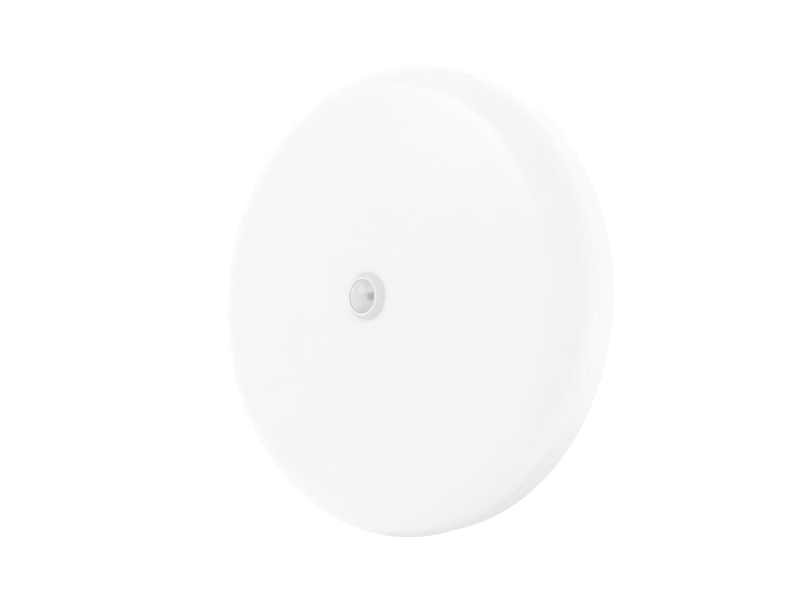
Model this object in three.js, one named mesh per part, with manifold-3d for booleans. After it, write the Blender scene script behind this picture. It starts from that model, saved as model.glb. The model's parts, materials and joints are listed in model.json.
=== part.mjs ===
// A round wall or ceiling luminaire with a passive-infrared motion sensor in the middle of its opal diffuser.
// Millimetres, +Z up. The origin is the centre of the face that lies on the wall; the lamp faces -Y.
// Every round piece turns about the Y axis, and "depth" is the distance forward from the wall, so y = -depth.
import * as THREE from "three";
import { mergeVertices } from "three/addons/utils/BufferGeometryUtils.js";
import Module from "manifold-3d";

const wasm = await Module();
wasm.setup();

// ---------------------------------------------------------------- driving dimensions
const RADIUS = 115; // the lamp's outer radius, at the parting line
const PARTING = 15.4; // depth at which the pan ends and the diffuser begins
const SHOULDER = 18; // radius of the diffuser's rounded edge
const CROWN = 2; // how far the diffuser's face domes towards its centre
const WALL = 2; // moulded wall thickness of pan and diffuser
const GAP = 0.3; // clearance between pieces that touch
const LENS_RADIUS = 7.9; // the sensor lens, where it comes out of its collar
const LENS_RISE = 3.4; // how far the lens domes out of its collar

const LARGE = 60; // sides of a circle as wide as the lamp
const MEDIUM = 24; // sides of a circle of a few centimetres
const SMALL = 10; // sides of a screw, a boss or a capacitor
const TURN = 2 * Math.PI;
const SIDES = [-1, 1];
const CORNERS = SIDES.flatMap((x) => SIDES.map((z) => [x, z]));

const BACK_RIM = 0.8; // depth of the pan's rear edge
const REST_FLOOR = 4.2; // front of the pan's outer floor, over the foam
const FLOOR = 8.2; // front of the pan's raised middle floor
const RECESS_RADIUS = 84.6; // where the pan steps from one floor to the other
const PAN_INSIDE = 112.7; // inner radius of the pan's side wall
const BOSS_ROOT = 0.5; // how deep a boss is rooted in the floor that it stands on
const GASKET_INNER = 97;
const GASKET_OUTER = 109;
const GASKET_THICKNESS = 1.9;

const BAR_THICKNESS = 2;
const BAR_WIDTH = 26;
const BAR_LENGTH = 156;
const BAR_SCREW_X = 71;
const BAR_BOSS_RADIUS = 6;
const BAR_SLOT_X = 36; // centre of each wall-screw slot, for screws 52 to 92 mm apart
const BAR_SLOT_LENGTH = 25;
const BAR_SLOT_WIDTH = 5.2;

const LED_BOARD_INNER = 52;
const LED_BOARD_OUTER = 92;
const LED_BOARD_DEPTH = 12.2;
const LED_BOARD_THICKNESS = 1.6;
const LED_BAND = 71; // radius of the board's screws and of the bar's access holes
const LED_SCREW_ANGLES = [45, 135, 225, 315];
const DIODE = { length: 2.8, width: 3.5, height: 0.8 };
const TRACK = { width: 1.2, height: 0.15 }; // the copper that joins the diodes of a row
const LED_ROWS = { inner: { radius: 62, count: 16 }, outer: { radius: 83, count: 20 } };

const CABLE_Z = -36; // where the mains cable comes through the pan
const CABLE_BORE = 3.8;

const COVER_RADIUS = 48.5; // driver cover, at its foot
const COVER_TOP = 26; // depth of the cover's front face
const COVER_WALL = 1.5;
const COVER_SCREW_X = 39;
const COVER_SCREW_Z = -6;

const BOARD_WIDTH = 60; // driver board
const BOARD_HEIGHT = 38;
const BOARD_Z = 12;
const BOARD_DEPTH = 11.5;
const BOARD_THICKNESS = 1.6;
const BOARD_FRONT = BOARD_DEPTH + BOARD_THICKNESS;
const BOARD_SCREW_X = 26;
const BOARD_SCREW_Z = 15; // above and below the board's middle
const SOCKET_X = 10;
const SOCKET_Z = -1.5;

const TERMINAL_Z = -20;
const TERMINAL_WIDTH = 22;
const TERMINAL_HEIGHT = 12;
const TERMINAL_TOP = 21;
const TERMINAL_POLE_X = 5.5;
const BUTTON_Z = 2.4; // above the terminal block's middle
const BUTTON_TRAVEL = 1.5;

const SENSOR_BOARD_RADIUS = 17;
const SENSOR_BOARD_DEPTH = 27.2;
const SENSOR_BOARD_THICKNESS = 1.2;
const SENSOR_FRONT = SENSOR_BOARD_DEPTH + SENSOR_BOARD_THICKNESS;
const SENSOR_SCREW_Z = 14;
const TRIMMER_X = 12;

const CLIP_COUNT = 3;
const CLIP_SCREW_RADIUS = 101;
const CLIP_SEAT = 6.2; // depth of the boss that a clip stands on

// ---------------------------------------------------------------- finishes
const finish = (color, roughness, metalness = 0) =>
  new THREE.MeshStandardMaterial({ color, roughness, metalness });
const PAN_WHITE = finish(0xf2f2f0, 0.32);
const OPAL = finish(0xf5f5f4, 0.28);
const LENS = finish(0xd9dadb, 0.42);
const STEEL = finish(0xa8abae, 0.35, 1);
const SPRING_STEEL = finish(0x8c9096, 0.3, 1);
const FOAM = finish(0x55585a, 0.95);
const RUBBER = finish(0x2b2c2e, 0.8);
const MASK_WHITE = finish(0xf3f4f2, 0.45);
const PHOSPHOR = finish(0xe9cf63, 0.5);
const BOARD_GREEN = finish(0x2f6b45, 0.5);
const BLACK_PLASTIC = finish(0x1d1e20, 0.5);
const SOCKET_WHITE = finish(0xe6e4dc, 0.5);
const BUTTON_ORANGE = finish(0xe8752a, 0.45);
const KNOB_BLUE = finish(0x3b6fb5, 0.45);
const FILM_YELLOW = finish(0xe0b33a, 0.45);
const RESISTOR_GREEN = finish(0x4d8a63, 0.55);
const WINDOW_DARK = finish(0x35383f, 0.15, 0.3);
const WIRE_RED = finish(0xb8262a, 0.5);
const WIRE_BLACK = finish(0x18191a, 0.5);
const WIRE_BROWN = finish(0x6b4127, 0.5);
const WIRE_BLUE = finish(0x2f63ad, 0.5);
const WIRE_WHITE = finish(0xe3e3df, 0.5);

// ---------------------------------------------------------------- joining and cutting
// A closed geometry as a manifold-3d solid, whichever way its faces were wound.
function solid(geometry) {
  const loose = geometry.index ? geometry.toNonIndexed() : geometry;
  const bare = new THREE.BufferGeometry().setAttribute("position", loose.getAttribute("position"));
  const merged = mergeVertices(bare, 1e-4);
  const at = merged.getAttribute("position");
  const corner = [0, 1, 2].map(() => new THREE.Vector3());
  const faces = [];
  let volume = 0;
  for (let i = 0; i < merged.index.count; i += 3) {
    const face = [0, 1, 2].map((k) => merged.index.getX(i + k));
    if (new Set(face).size < 3) continue; // a sliver at a pole
    faces.push(face);
    face.forEach((v, k) => corner[k].fromBufferAttribute(at, v));
    volume += corner[0].dot(corner[1].clone().cross(corner[2]));
  }
  if (volume < 0) faces.forEach((face) => face.reverse());
  const triVerts = new Uint32Array(faces.flat());
  return new wasm.Manifold(
    new wasm.Mesh({ numProp: 3, vertProperties: new Float32Array(at.array), triVerts }),
  );
}

function shape(made) {
  const mesh = made.getMesh();
  const stride = mesh.numProp;
  const position = new Float32Array(mesh.numVert * 3);
  for (let i = 0; i < mesh.numVert; i++) {
    position.set(mesh.vertProperties.subarray(i * stride, i * stride + 3), i * 3);
  }
  const indexed = new THREE.BufferGeometry()
    .setAttribute("position", new THREE.BufferAttribute(position, 3))
    .setIndex(new THREE.BufferAttribute(mesh.triVerts, 1));
  const flat = indexed.toNonIndexed();
  flat.computeVertexNormals();
  return flat;
}

const join = (...bodies) => shape(bodies.map(solid).reduce((sum, next) => sum.add(next)));
const cut = (body, ...tools) =>
  shape(tools.map(solid).reduce((rest, tool) => rest.subtract(tool), solid(body)));

// ---------------------------------------------------------------- basic shapes
// A section of [radius, depth] points turned about the lamp's axis.
function turned(section, sides = MEDIUM) {
  const points = section.map(([radius, depth]) => new THREE.Vector2(radius, -depth));
  const onAxis = points[0].x === 0 && points.at(-1).x === 0;
  if (!onAxis) points.push(points[0].clone());
  return new THREE.LatheGeometry(points, sides);
}

// Points of a circle's arc in a section, between two angles in degrees; 0 points outwards and 90 forwards.
function arc(radius, depth, size, from, to, steps) {
  return Array.from({ length: steps + 1 }, (_, i) => {
    const angle = THREE.MathUtils.degToRad(from + ((to - from) * i) / steps);
    return [radius + size * Math.cos(angle), depth + size * Math.sin(angle)];
  });
}

const rod = (radius, from, to, sides = SMALL) =>
  new THREE.CylinderGeometry(radius, radius, to - from, sides).translate(0, -(from + to) / 2, 0);
const block = (width, height, from, to) =>
  new THREE.BoxGeometry(width, to - from, height).translate(0, -(from + to) / 2, 0);
const placed = (geometry, x, z, depth = 0) => geometry.translate(x, -depth, z);

// A flat outline in x and z, given thickness from one depth to another.
function plate(outline, from, to, curveSegments = 8) {
  const settings = { depth: to - from, bevelEnabled: false, curveSegments };
  return new THREE.ExtrudeGeometry(outline, settings).rotateX(Math.PI / 2).translate(0, -from, 0);
}

// A stadium outline: a slot, or a strip with round ends.
function stadium(length, width) {
  const half = (length - width) / 2;
  const outline = new THREE.Shape();
  outline.absarc(half, 0, width / 2, -Math.PI / 2, Math.PI / 2, false);
  outline.absarc(-half, 0, width / 2, Math.PI / 2, -Math.PI / 2, false);
  return outline;
}

// A wire through [x, depth, z] points. lobes sets several round cores side by side in one flat cable.
function wire(route, radius, steps, lobes = 1) {
  const path = new THREE.CatmullRomCurve3(route.map(([x, depth, z]) => new THREE.Vector3(x, -depth, z)));
  const section = new THREE.Shape();
  const pitch = radius * 1.7;
  const sides = lobes > 1 ? 4 : 8;
  const points = [];
  const coreAt = (i) => (i - (lobes - 1) / 2) * pitch;
  const around = (centre, from, to, count) => {
    for (let k = 0; k <= count; k++) {
      const angle = from + ((to - from) * k) / count;
      points.push(new THREE.Vector2(centre + radius * Math.cos(angle), radius * Math.sin(angle)));
    }
  };
  if (lobes === 1) {
    around(0, 0, TURN * (1 - 1 / sides), sides - 1);
  } else {
    const notch = Math.acos(pitch / 2 / radius); // where neighbouring cores meet
    around(coreAt(lobes - 1), -Math.PI + notch, Math.PI - notch, sides);
    for (let i = lobes - 2; i > 0; i--) around(coreAt(i), notch, Math.PI - notch, 2);
    around(coreAt(0), notch, TURN - notch, sides);
    for (let i = 1; i < lobes - 1; i++) around(coreAt(i), Math.PI + notch, TURN - notch, 2);
  }
  const unique = points.filter((p, i) => p.distanceTo(points[(i + 1) % points.length]) > 1e-3);
  section.setFromPoints(unique);
  return new THREE.ExtrudeGeometry(section, { steps, bevelEnabled: false, extrudePath: path });
}

const piece = (name, geometry, material) => {
  const mesh = new THREE.Mesh(shape(solid(geometry)), material);
  mesh.name = name;
  return mesh;
};

function group(...members) {
  const made = new THREE.Group();
  made.add(...members);
  return made;
}

// Puts a piece or a group at x and z, at a depth in front of where it was made.
function at(object, x, z, depth = 0) {
  object.position.set(x, -depth, z);
  return object;
}

// Turns a piece or a group about the lamp's axis, anticlockwise as seen from the front.
function turnedBy(object, degrees) {
  object.rotation.y = THREE.MathUtils.degToRad(-degrees);
  return object;
}

const circleSpot = (radius, degrees) => {
  const angle = THREE.MathUtils.degToRad(degrees);
  return [radius * Math.cos(angle), radius * Math.sin(angle)];
};

// A slotted screw whose head sits on a face at depth 0 and whose shank runs back into the wall.
function screw(headRadius, headHeight, shankRadius, shankLength) {
  const body = turned(
    [
      [0, -shankLength],
      [shankRadius, -shankLength],
      [shankRadius, 0],
      [headRadius, 0],
      [headRadius, headHeight * 0.5],
      [0, headHeight],
    ],
    SMALL,
  );
  const slotWidth = headRadius * 0.28;
  return cut(body, block(headRadius * 1.3, slotWidth, headHeight * 0.45, headHeight + 1));
}

// ---------------------------------------------------------------- wall side
function mountingBar() {
  const outline = stadium(BAR_LENGTH, BAR_WIDTH);
  const bar = plate(outline, 0, BAR_THICKNESS);
  const holes = SIDES.flatMap((side) => [
    placed(plate(stadium(BAR_SLOT_LENGTH, BAR_SLOT_WIDTH), -1, BAR_THICKNESS + 1, 6), side * BAR_SLOT_X, 0),
    placed(rod(1.7, -1, BAR_THICKNESS + 1), side * BAR_SCREW_X, 0),
  ]);
  return cut(bar, ...holes);
}

// A flat ring between two radii and two depths.
const flatRing = (inner, outer, from, to, sides) =>
  turned([[inner, from], [outer, from], [outer, to], [inner, to]], sides);

const wallGasket = () => flatRing(GASKET_INNER, GASKET_OUTER, 0, GASKET_THICKNESS, LARGE);

function panDish() {
  return turned(
    [
      [0, FLOOR - WALL],
      [RECESS_RADIUS - WALL, FLOOR - WALL],
      [RECESS_RADIUS, REST_FLOOR - WALL],
      [110.6, REST_FLOOR - WALL],
      [111.2, BACK_RIM],
      [RADIUS - 1.1, BACK_RIM],
      [RADIUS - 0.6, BACK_RIM + 0.6],
      [RADIUS - 0.5, PARTING - 0.5],
      [RADIUS - 1, PARTING],
      [PAN_INSIDE, PARTING],
      [PAN_INSIDE, 6],
      [111, REST_FLOOR],
      [RECESS_RADIUS + WALL, REST_FLOOR],
      [RECESS_RADIUS, FLOOR],
      [0, FLOOR],
    ],
    LARGE,
  );
}

// The pan's screw bosses: where they stand, their radius, foot and top, and their screw hole's radius.
function panPosts() {
  const ledSpots = LED_SCREW_ANGLES.map((degrees) => circleSpot(LED_BAND, degrees));
  const clipSpots = clipAngles().map((degrees) => circleSpot(CLIP_SCREW_RADIUS, degrees));
  const boardSpots = CORNERS.map(([x, z]) => [BOARD_SCREW_X * x, BOARD_Z + BOARD_SCREW_Z * z]);
  const coverSpots = SIDES.map((side) => [side * COVER_SCREW_X, COVER_SCREW_Z]);
  const coverSeat = COVER_TOP - COVER_WALL - GAP;
  return [
    { spots: ledSpots, radius: 3.6, foot: FLOOR, top: LED_BOARD_DEPTH - GAP, hole: 1.7 },
    { spots: clipSpots, radius: 4, foot: REST_FLOOR, top: CLIP_SEAT, hole: 1.7 },
    { spots: boardSpots, radius: 2.8, foot: FLOOR, top: BOARD_DEPTH - GAP, hole: 1.3 },
    { spots: coverSpots, radius: 3.6, foot: FLOOR, top: coverSeat, hole: 1.7 },
  ];
}

function basePan() {
  const posts = panPosts().flatMap(({ spots, ...post }) => spots.map(([x, z]) => ({ x, z, ...post })));
  const cradleX = TERMINAL_WIDTH / 2 + 1.2; // ribs on both sides of the terminal block
  const barBoss = [BAR_BOSS_RADIUS, BAR_THICKNESS + GAP, FLOOR - WALL + BOSS_ROOT];
  const bosses = [
    ...posts.map(({ x, z, radius, foot, top }) => placed(rod(radius, foot - BOSS_ROOT, top), x, z)),
    ...SIDES.map((side) => placed(rod(...barBoss), side * BAR_SCREW_X, 0)),
    ...SIDES.map((side) => placed(block(1.6, 8, FLOOR - BOSS_ROOT, FLOOR + 4), side * cradleX, TERMINAL_Z)),
  ];
  const holes = [
    ...posts.map(({ x, z, hole, foot, top }) => placed(rod(hole, foot - 1, top + 1), x, z)),
    ...SIDES.map((side) => placed(rod(2.3, 0, FLOOR + 1), side * BAR_SCREW_X, 0)),
    placed(rod(5.5, 0, FLOOR + 2, 20), 0, CABLE_Z),
  ];
  return cut(join(panDish(), ...bosses), ...holes);
}

function cableGrommet() {
  const back = FLOOR - WALL;
  return turned(
    [
      [CABLE_BORE, back - 1.7],
      [6.4, back - 1.7],
      [7.2, back - GAP],
      [5.2, back - GAP],
      [5.2, FLOOR + GAP],
      [7.2, FLOOR + GAP],
      [6.2, FLOOR + 2],
      [CABLE_BORE, FLOOR + 2],
    ],
    20,
  );
}

// ---------------------------------------------------------------- light source
function ledBoard() {
  const back = LED_BOARD_DEPTH;
  const front = back + LED_BOARD_THICKNESS;
  const ring = flatRing(LED_BOARD_INNER, LED_BOARD_OUTER, back, front, LARGE);
  const screwHoles = LED_SCREW_ANGLES.map((degrees) =>
    placed(rod(1.8, back - 1, front + 1), ...circleSpot(LED_BAND, degrees)));
  const accessHoles = SIDES.map((side) => placed(rod(5.2, back - 1, front + 1, 16), side * BAR_SCREW_X, 0));
  return cut(ring, ...screwHoles, ...accessHoles);
}

// One ring of light-emitting diodes on the copper track that feeds them.
function ledRow({ radius, count }) {
  const base = LED_BOARD_DEPTH + LED_BOARD_THICKNESS + 0.1;
  const half = TRACK.width / 2;
  const track = flatRing(radius - half, radius + half, base, base + TRACK.height, count);
  const diodes = Array.from({ length: count }, (_, i) =>
    block(DIODE.length, DIODE.width, base, base + DIODE.height)
      .translate(radius, 0, 0)
      .rotateY((TURN * i) / count));
  return join(track, ...diodes);
}

// ---------------------------------------------------------------- driver
function driverBoard() {
  const board = placed(block(BOARD_WIDTH, BOARD_HEIGHT, BOARD_DEPTH, BOARD_FRONT), 0, BOARD_Z);
  const holes = CORNERS.map(([x, z]) =>
    placed(rod(1.5, BOARD_DEPTH - 1, BOARD_FRONT + 1), BOARD_SCREW_X * x, BOARD_Z + BOARD_SCREW_Z * z));
  return cut(board, ...holes);
}

function transformer() {
  const winding = block(9.5, 13, 1.4, 9.6);
  const core = block(14, 5, 0.5, 10.4);
  const pins = SIDES.map((side) => placed(block(13, 2.4, 0.1, 1.6), 0, side * 6.4));
  return join(winding, core, ...pins);
}

function lyingCapacitor(radius, length) {
  const can = turned(
    [[0, 0], [radius, 0], [radius, 2.2], [radius - 0.45, 2.7], [radius, 3.2], [radius, length], [0, length]],
    14,
  );
  return can.rotateZ(Math.PI / 2).translate(-length / 2, -radius, 0);
}

function filmCapacitor() {
  return cut(block(13, 6, 0, 10.5), placed(block(11, 4, 10.1, 11), 0, 0));
}

function rectifier() {
  const body = block(4.8, 4, 0.4, 2.6);
  const legs = CORNERS.map(([x, z]) => placed(block(0.8, 1.6, 0.1, 0.9), 1.3 * x, 2.4 * z));
  return join(body, ...legs);
}

function flatChip(length, width, pairs) {
  const body = block(length, width, 0.3, 1.7);
  const legs = Array.from({ length: pairs }, (_, i) => {
    const x = (i - (pairs - 1) / 2) * 1.27;
    return placed(block(0.45, width + 2, 0.1, 0.6), x, 0);
  });
  return join(body, ...legs);
}

function fuseResistor() {
  const barrel = turned([[0, 0], [1.8, 0.8], [1.5, 2], [1.5, 7], [1.8, 8.2], [0, 9]], SMALL);
  return barrel.rotateX(Math.PI / 2).translate(0, -1.9, 4.5);
}

function terminalBlock() {
  const body = block(TERMINAL_WIDTH, TERMINAL_HEIGHT, 0, TERMINAL_TOP - FLOOR);
  const top = TERMINAL_TOP - FLOOR;
  const poles = SIDES.flatMap((side) => [
    placed(block(5, 4.6, top - 5, top + 1), side * TERMINAL_POLE_X, BUTTON_Z), // button well
    placed(rod(1.6, top - 6, top + 1, 12), side * TERMINAL_POLE_X, -3), // wire mouth
    placed(rod(1.4, -2, 8, 10).rotateX(Math.PI / 2), side * TERMINAL_POLE_X, TERMINAL_HEIGHT / 2, 4),
  ]);
  return cut(body, ...poles);
}

const releaseButton = () =>
  join(block(4.2, 3.8, -4 + BUTTON_TRAVEL, 1.2), block(3, 1, 0.5, 1.7));

function sensorSocket() {
  return cut(block(10, 5.8, 0, 7), block(8.6, 4.4, 1, 8));
}

function sensorPlug() {
  return join(block(7.8, 3.6, 1.3, 8.2), block(7, 1.2, 1.4, 8.6));
}

function driverCover() {
  const outer = [
    [COVER_RADIUS, FLOOR + GAP],
    [COVER_RADIUS - 2.4, COVER_TOP - 2.5],
    ...arc(COVER_RADIUS - 4.9, COVER_TOP - 2.5, 2.5, 20, 90, 3),
    [0, COVER_TOP],
  ];
  const inner = [
    [0, COVER_TOP - COVER_WALL],
    [COVER_RADIUS - 5, COVER_TOP - COVER_WALL],
    [COVER_RADIUS - 4, COVER_TOP - COVER_WALL - 1],
    [COVER_RADIUS - COVER_WALL, FLOOR + GAP],
  ];
  const tub = turned([...inner, ...outer], 40);
  const turretRing = turned(
    [[17.6, COVER_TOP - 0.5], [19.4, COVER_TOP - 0.5], [19, COVER_TOP + 3.2], [17.8, COVER_TOP + 3.2]],
    MEDIUM,
  );
  const pillars = SIDES.map((side) =>
    placed(rod(2.4, COVER_TOP - 0.5, SENSOR_BOARD_DEPTH - 0.2), 0, side * SENSOR_SCREW_Z));
  const screwHoles = [
    ...SIDES.map((side) =>
      placed(rod(1.8, COVER_TOP - 3, COVER_TOP + 1), side * COVER_SCREW_X, COVER_SCREW_Z)),
    ...SIDES.map((side) => placed(rod(1.1, COVER_TOP - 3, COVER_TOP + 4), 0, side * SENSOR_SCREW_Z)),
  ];
  const cableSlot = placed(block(9, 4.5, COVER_TOP - 3, COVER_TOP + 0.4), 9, -7);
  const leadNotch = block(12, 7, FLOOR, FLOOR + 4.2).translate(COVER_RADIUS - 2, 0, 6);
  return cut(join(tub, turretRing, ...pillars), ...screwHoles, cableSlot, leadNotch);
}

// ---------------------------------------------------------------- sensor
function sensorBoard() {
  const board = rod(SENSOR_BOARD_RADIUS, SENSOR_BOARD_DEPTH, SENSOR_FRONT, MEDIUM);
  const holes = SIDES.map((side) =>
    placed(rod(1.2, SENSOR_BOARD_DEPTH - 1, SENSOR_FRONT + 1), 0, side * SENSOR_SCREW_Z));
  return cut(board, ...holes);
}

function pyroCan() {
  const can = turned([[0, 0.1], [4.6, 0.1], [4.6, 0.6], [4.1, 0.7], [4.1, 4.3], [0, 4.3]], 18);
  return cut(can, block(4.2, 3.2, 3.6, 5));
}

const pyroWindow = () => block(3.9, 2.9, 3.7, 4.1);

function lightCell() {
  const cell = turned([[0, 0.1], [2.5, 0.1], [2.5, 2.1], [0, 2.1]], SMALL);
  const tracks = SIDES.map((i) => placed(block(3.4, 0.4, 1.9, 3), 0, 0.7 * i));
  return cut(cell, ...tracks);
}

function trimmerBody() {
  return cut(block(6.6, 7, 0.1, 2.2), rod(2.8, 1, 3, 16));
}

const trimmerKnob = () =>
  cut(turned([[0, 1.2], [2.4, 1.2], [2.4, 2.7], [0, 2.7]], 16), placed(block(0.8, 3, 2.1, 3.5), 0, 0.5));

// ---------------------------------------------------------------- diffuser
const SHOULDER_RADIUS = RADIUS - SHOULDER;
const RIM = PARTING + GAP;
const CROWN_SPHERE = (SHOULDER_RADIUS ** 2 + CROWN ** 2) / (2 * CROWN);
const FACE = RIM + SHOULDER + CROWN; // depth of the face at the lamp's centre
const HOLE_RADIUS = 9.4;
const TONGUE_OUTSIDE = PAN_INSIDE - 0.4;
const TONGUE_INSIDE = TONGUE_OUTSIDE - 1.5;

// Points of the domed face, from the shoulder in to the sensor's hole, at an inset under the outer skin.
function facePoints(inset) {
  const steps = 3;
  return Array.from({ length: steps + 1 }, (_, i) => {
    const radius = THREE.MathUtils.lerp(SHOULDER_RADIUS, HOLE_RADIUS, i / steps);
    const drop = CROWN_SPHERE - Math.sqrt(CROWN_SPHERE ** 2 - radius ** 2);
    return [radius, FACE - inset - drop];
  });
}

function diffuser() {
  const innerShoulder = SHOULDER - WALL;
  const wallAngle = THREE.MathUtils.radToDeg(Math.acos((TONGUE_INSIDE - SHOULDER_RADIUS) / innerShoulder));
  return turned(
    [
      [TONGUE_OUTSIDE, 9.5],
      [TONGUE_OUTSIDE, RIM],
      ...arc(SHOULDER_RADIUS, RIM, SHOULDER, 0, 87, 7),
      ...facePoints(0).slice(1),
      ...facePoints(WALL).slice(1).reverse(),
      ...arc(SHOULDER_RADIUS, RIM, innerShoulder, 87, wallAngle, 3),
      [TONGUE_INSIDE, 12.2],
      [TONGUE_INSIDE - 0.5, 11.4],
      [TONGUE_INSIDE - 0.5, 9.5],
    ],
    LARGE,
  );
}

const COLLAR_SEAT = FACE + 0.1;
const COLLAR_LIP = FACE + 3.3;
const COLLAR_BASE = 10.9; // its widest radius, on the face
const COLLAR_NECK = 9.1; // where it passes through the diffuser
const LENS_SEAT = 8.6; // radius of the bore that takes the lens's flange

function lensCollar() {
  const barb = FACE - WALL - 0.4; // front of the barb that holds it behind the diffuser
  return turned([
    [LENS_SEAT, barb - 1.2],
    [COLLAR_NECK + 0.2, barb - 1.2],
    [COLLAR_NECK + 0.9, barb - 0.1],
    [COLLAR_NECK, barb],
    [COLLAR_NECK, COLLAR_SEAT],
    [COLLAR_BASE, COLLAR_SEAT],
    [COLLAR_BASE - 0.15, COLLAR_SEAT + 0.8],
    [COLLAR_BASE - 1.75, COLLAR_LIP - 0.35],
    [COLLAR_BASE - 2.05, COLLAR_LIP],
    [LENS_RADIUS + 0.25, COLLAR_LIP],
    [LENS_RADIUS + 0.15, COLLAR_LIP - 1.1],
    [LENS_SEAT, COLLAR_LIP - 1.1],
  ]);
}

function fresnelLens() {
  const edge = COLLAR_LIP - 0.3; // where the dome starts
  const sphere = (LENS_RADIUS ** 2 + LENS_RISE ** 2) / (2 * LENS_RISE);
  const centre = edge + LENS_RISE - sphere;
  const skin = 0.7;
  const flange = LENS_SEAT - 0.25;
  const rimAngle = THREE.MathUtils.radToDeg(Math.acos(LENS_RADIUS / sphere));
  const innerAngle = THREE.MathUtils.radToDeg(Math.acos((LENS_RADIUS - skin) / (sphere - skin)));
  const outside = arc(0, centre, sphere, rimAngle, 90, 4);
  const inside = arc(0, centre, sphere - skin, 90, innerAngle, 3);
  outside.at(-1)[0] = 0;
  inside[0][0] = 0;
  return turned([
    ...inside,
    [LENS_RADIUS - skin, COLLAR_LIP - 2.2],
    [flange, COLLAR_LIP - 2.2],
    [flange, COLLAR_LIP - 1.4],
    [LENS_RADIUS, COLLAR_LIP - 1.4],
    ...outside,
  ]);
}

const lensClampRing = () =>
  flatRing(LENS_SEAT - 1.3, LENS_SEAT - 0.3, COLLAR_LIP - 4.2, COLLAR_LIP - 2.5, MEDIUM);

// ---------------------------------------------------------------- clips
function clipAngles() {
  return Array.from({ length: CLIP_COUNT }, (_, i) => 90 + (360 / CLIP_COUNT) * i);
}

// A leaf spring, made along +X: its foot lies on a boss, and its nose stands by the diffuser's tongue.
function retainingClip() {
  const thickness = 0.5;
  const line = [[97, 6.7], [105.3, 6.7], [106.6, 8], [107.2, 10.6], [109.9, 13], [107.4, 15.8]].map(
    ([radius, depth]) => new THREE.Vector2(radius, depth));
  const offset = (side) => line.map((point, i) => {
    const before = line[Math.max(i - 1, 0)];
    const after = line[Math.min(i + 1, line.length - 1)];
    const along = after.clone().sub(before).normalize();
    return point.clone().add(new THREE.Vector2(-along.y, along.x).multiplyScalar((side * thickness) / 2));
  });
  const outline = new THREE.Shape([...offset(1), ...offset(-1).reverse()]);
  const width = 9;
  const strip = new THREE.ExtrudeGeometry(outline, { depth: width, bevelEnabled: false })
    .translate(0, 0, -width / 2)
    .scale(1, -1, 1);
  return cut(strip, rod(1.7, 5, 9).translate(CLIP_SCREW_RADIUS, 0, 0));
}

// ---------------------------------------------------------------- wiring, as [x, depth, z] routes
const ROUTES = {
  ledRed: ledRoute(9.5, 7.6),
  ledBlack: ledRoute(5, 4.6),
  live: [
    [-5.5, 12.5, -16.5],
    [-5.5, 12.5, -13.2],
    [-7, 14.6, -9.5],
    [-16, 17, -4],
    [-23.6, 16.2, 0.4],
    [-24.8, 13.8, 1.8],
  ],
  neutral: [
    [5.5, 12.5, -16.5],
    [5.5, 12.5, -13.2],
    [3.5, 15, -9.5],
    [-6, 17, -4.5],
    [-12, 16.2, -0.6],
    [-13.2, 13.8, 1.2],
  ],
  sensor: [[10, 22.4, -2.2], [9.9, 23, -3.6], [9.5, 23.7, -5.6], [9.1, 25.2, -7], [9, 26.9, -7]],
};

// A lead from the driver board, under the cover's foot and up over the LED board's inner edge.
function ledRoute(start, end) {
  return [
    [25.5, 13.4, start],
    [26, 15.2, start],
    [33, 15.4, (start + end) / 2],
    [40, 11.6, end],
    [45, 10.4, end],
    [48.4, 11.6, end],
    [50, 14.6, end],
    [52.2, 16.2, end],
    [54.4, 15.6, end],
    [54.8, 14.3, end],
  ];
}

// ---------------------------------------------------------------- the assembly
function barScrew(name, side) {
  const seat = FLOOR + GAP;
  const made = piece(`bar_screw_${name}`, screw(3.8, 2.4, 1.5, seat - 0.6), STEEL);
  return at(made, side * BAR_SCREW_X, 0, seat);
}

const wallSide = group(
  piece("mounting_bar", mountingBar(), STEEL),
  piece("wall_gasket", wallGasket(), FOAM),
  piece("base_pan", basePan(), PAN_WHITE),
  at(piece("cable_grommet", cableGrommet(), RUBBER), 0, CABLE_Z),
  barScrew("left", -1),
  barScrew("right", 1),
);

const ledFront = LED_BOARD_DEPTH + LED_BOARD_THICKNESS;
const ledScrew = (number) => piece(`led_screw_${number}`, screw(2.9, 1.9, 1.3, 5), STEEL);
const lightSource = group(
  piece("led_board", ledBoard(), MASK_WHITE),
  piece("led_row_inner", ledRow(LED_ROWS.inner), PHOSPHOR),
  piece("led_row_outer", ledRow(LED_ROWS.outer), PHOSPHOR),
  ...LED_SCREW_ANGLES.map((degrees, i) =>
    at(ledScrew(i + 1), ...circleSpot(LED_BAND, degrees), ledFront + 0.2)),
);

const onDriverBoard = group(
  at(piece("transformer", transformer(), BLACK_PLASTIC), 8, 13.8),
  at(piece("bulk_capacitor", lyingCapacitor(4.2, 15), BLACK_PLASTIC), -6, 25.5),
  at(piece("output_capacitor", lyingCapacitor(3.2, 11), BLACK_PLASTIC), 15, 27),
  at(piece("film_capacitor", filmCapacitor(), FILM_YELLOW), -13.5, 9),
  at(piece("bridge_rectifier", rectifier(), BLACK_PLASTIC), -20, 19),
  at(piece("fuse_resistor", fuseResistor(), RESISTOR_GREEN), -26, 11),
  at(piece("driver_chip", flatChip(4.9, 3.9, 4), BLACK_PLASTIC), 20, 13.8),
  at(piece("sensor_socket", sensorSocket(), SOCKET_WHITE), SOCKET_X, SOCKET_Z),
);
at(onDriverBoard, 0, 0, BOARD_FRONT + 0.1);

const terminal = group(
  piece("terminal_block", terminalBlock(), SOCKET_WHITE),
  ...["live", "neutral"].map((pole, i) =>
    at(
      piece(`${pole}_release_button`, releaseButton(), BUTTON_ORANGE),
      SIDES[i] * TERMINAL_POLE_X,
      BUTTON_Z,
      TERMINAL_TOP - FLOOR,
    )),
);
at(terminal, 0, TERMINAL_Z, FLOOR + GAP);

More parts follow.
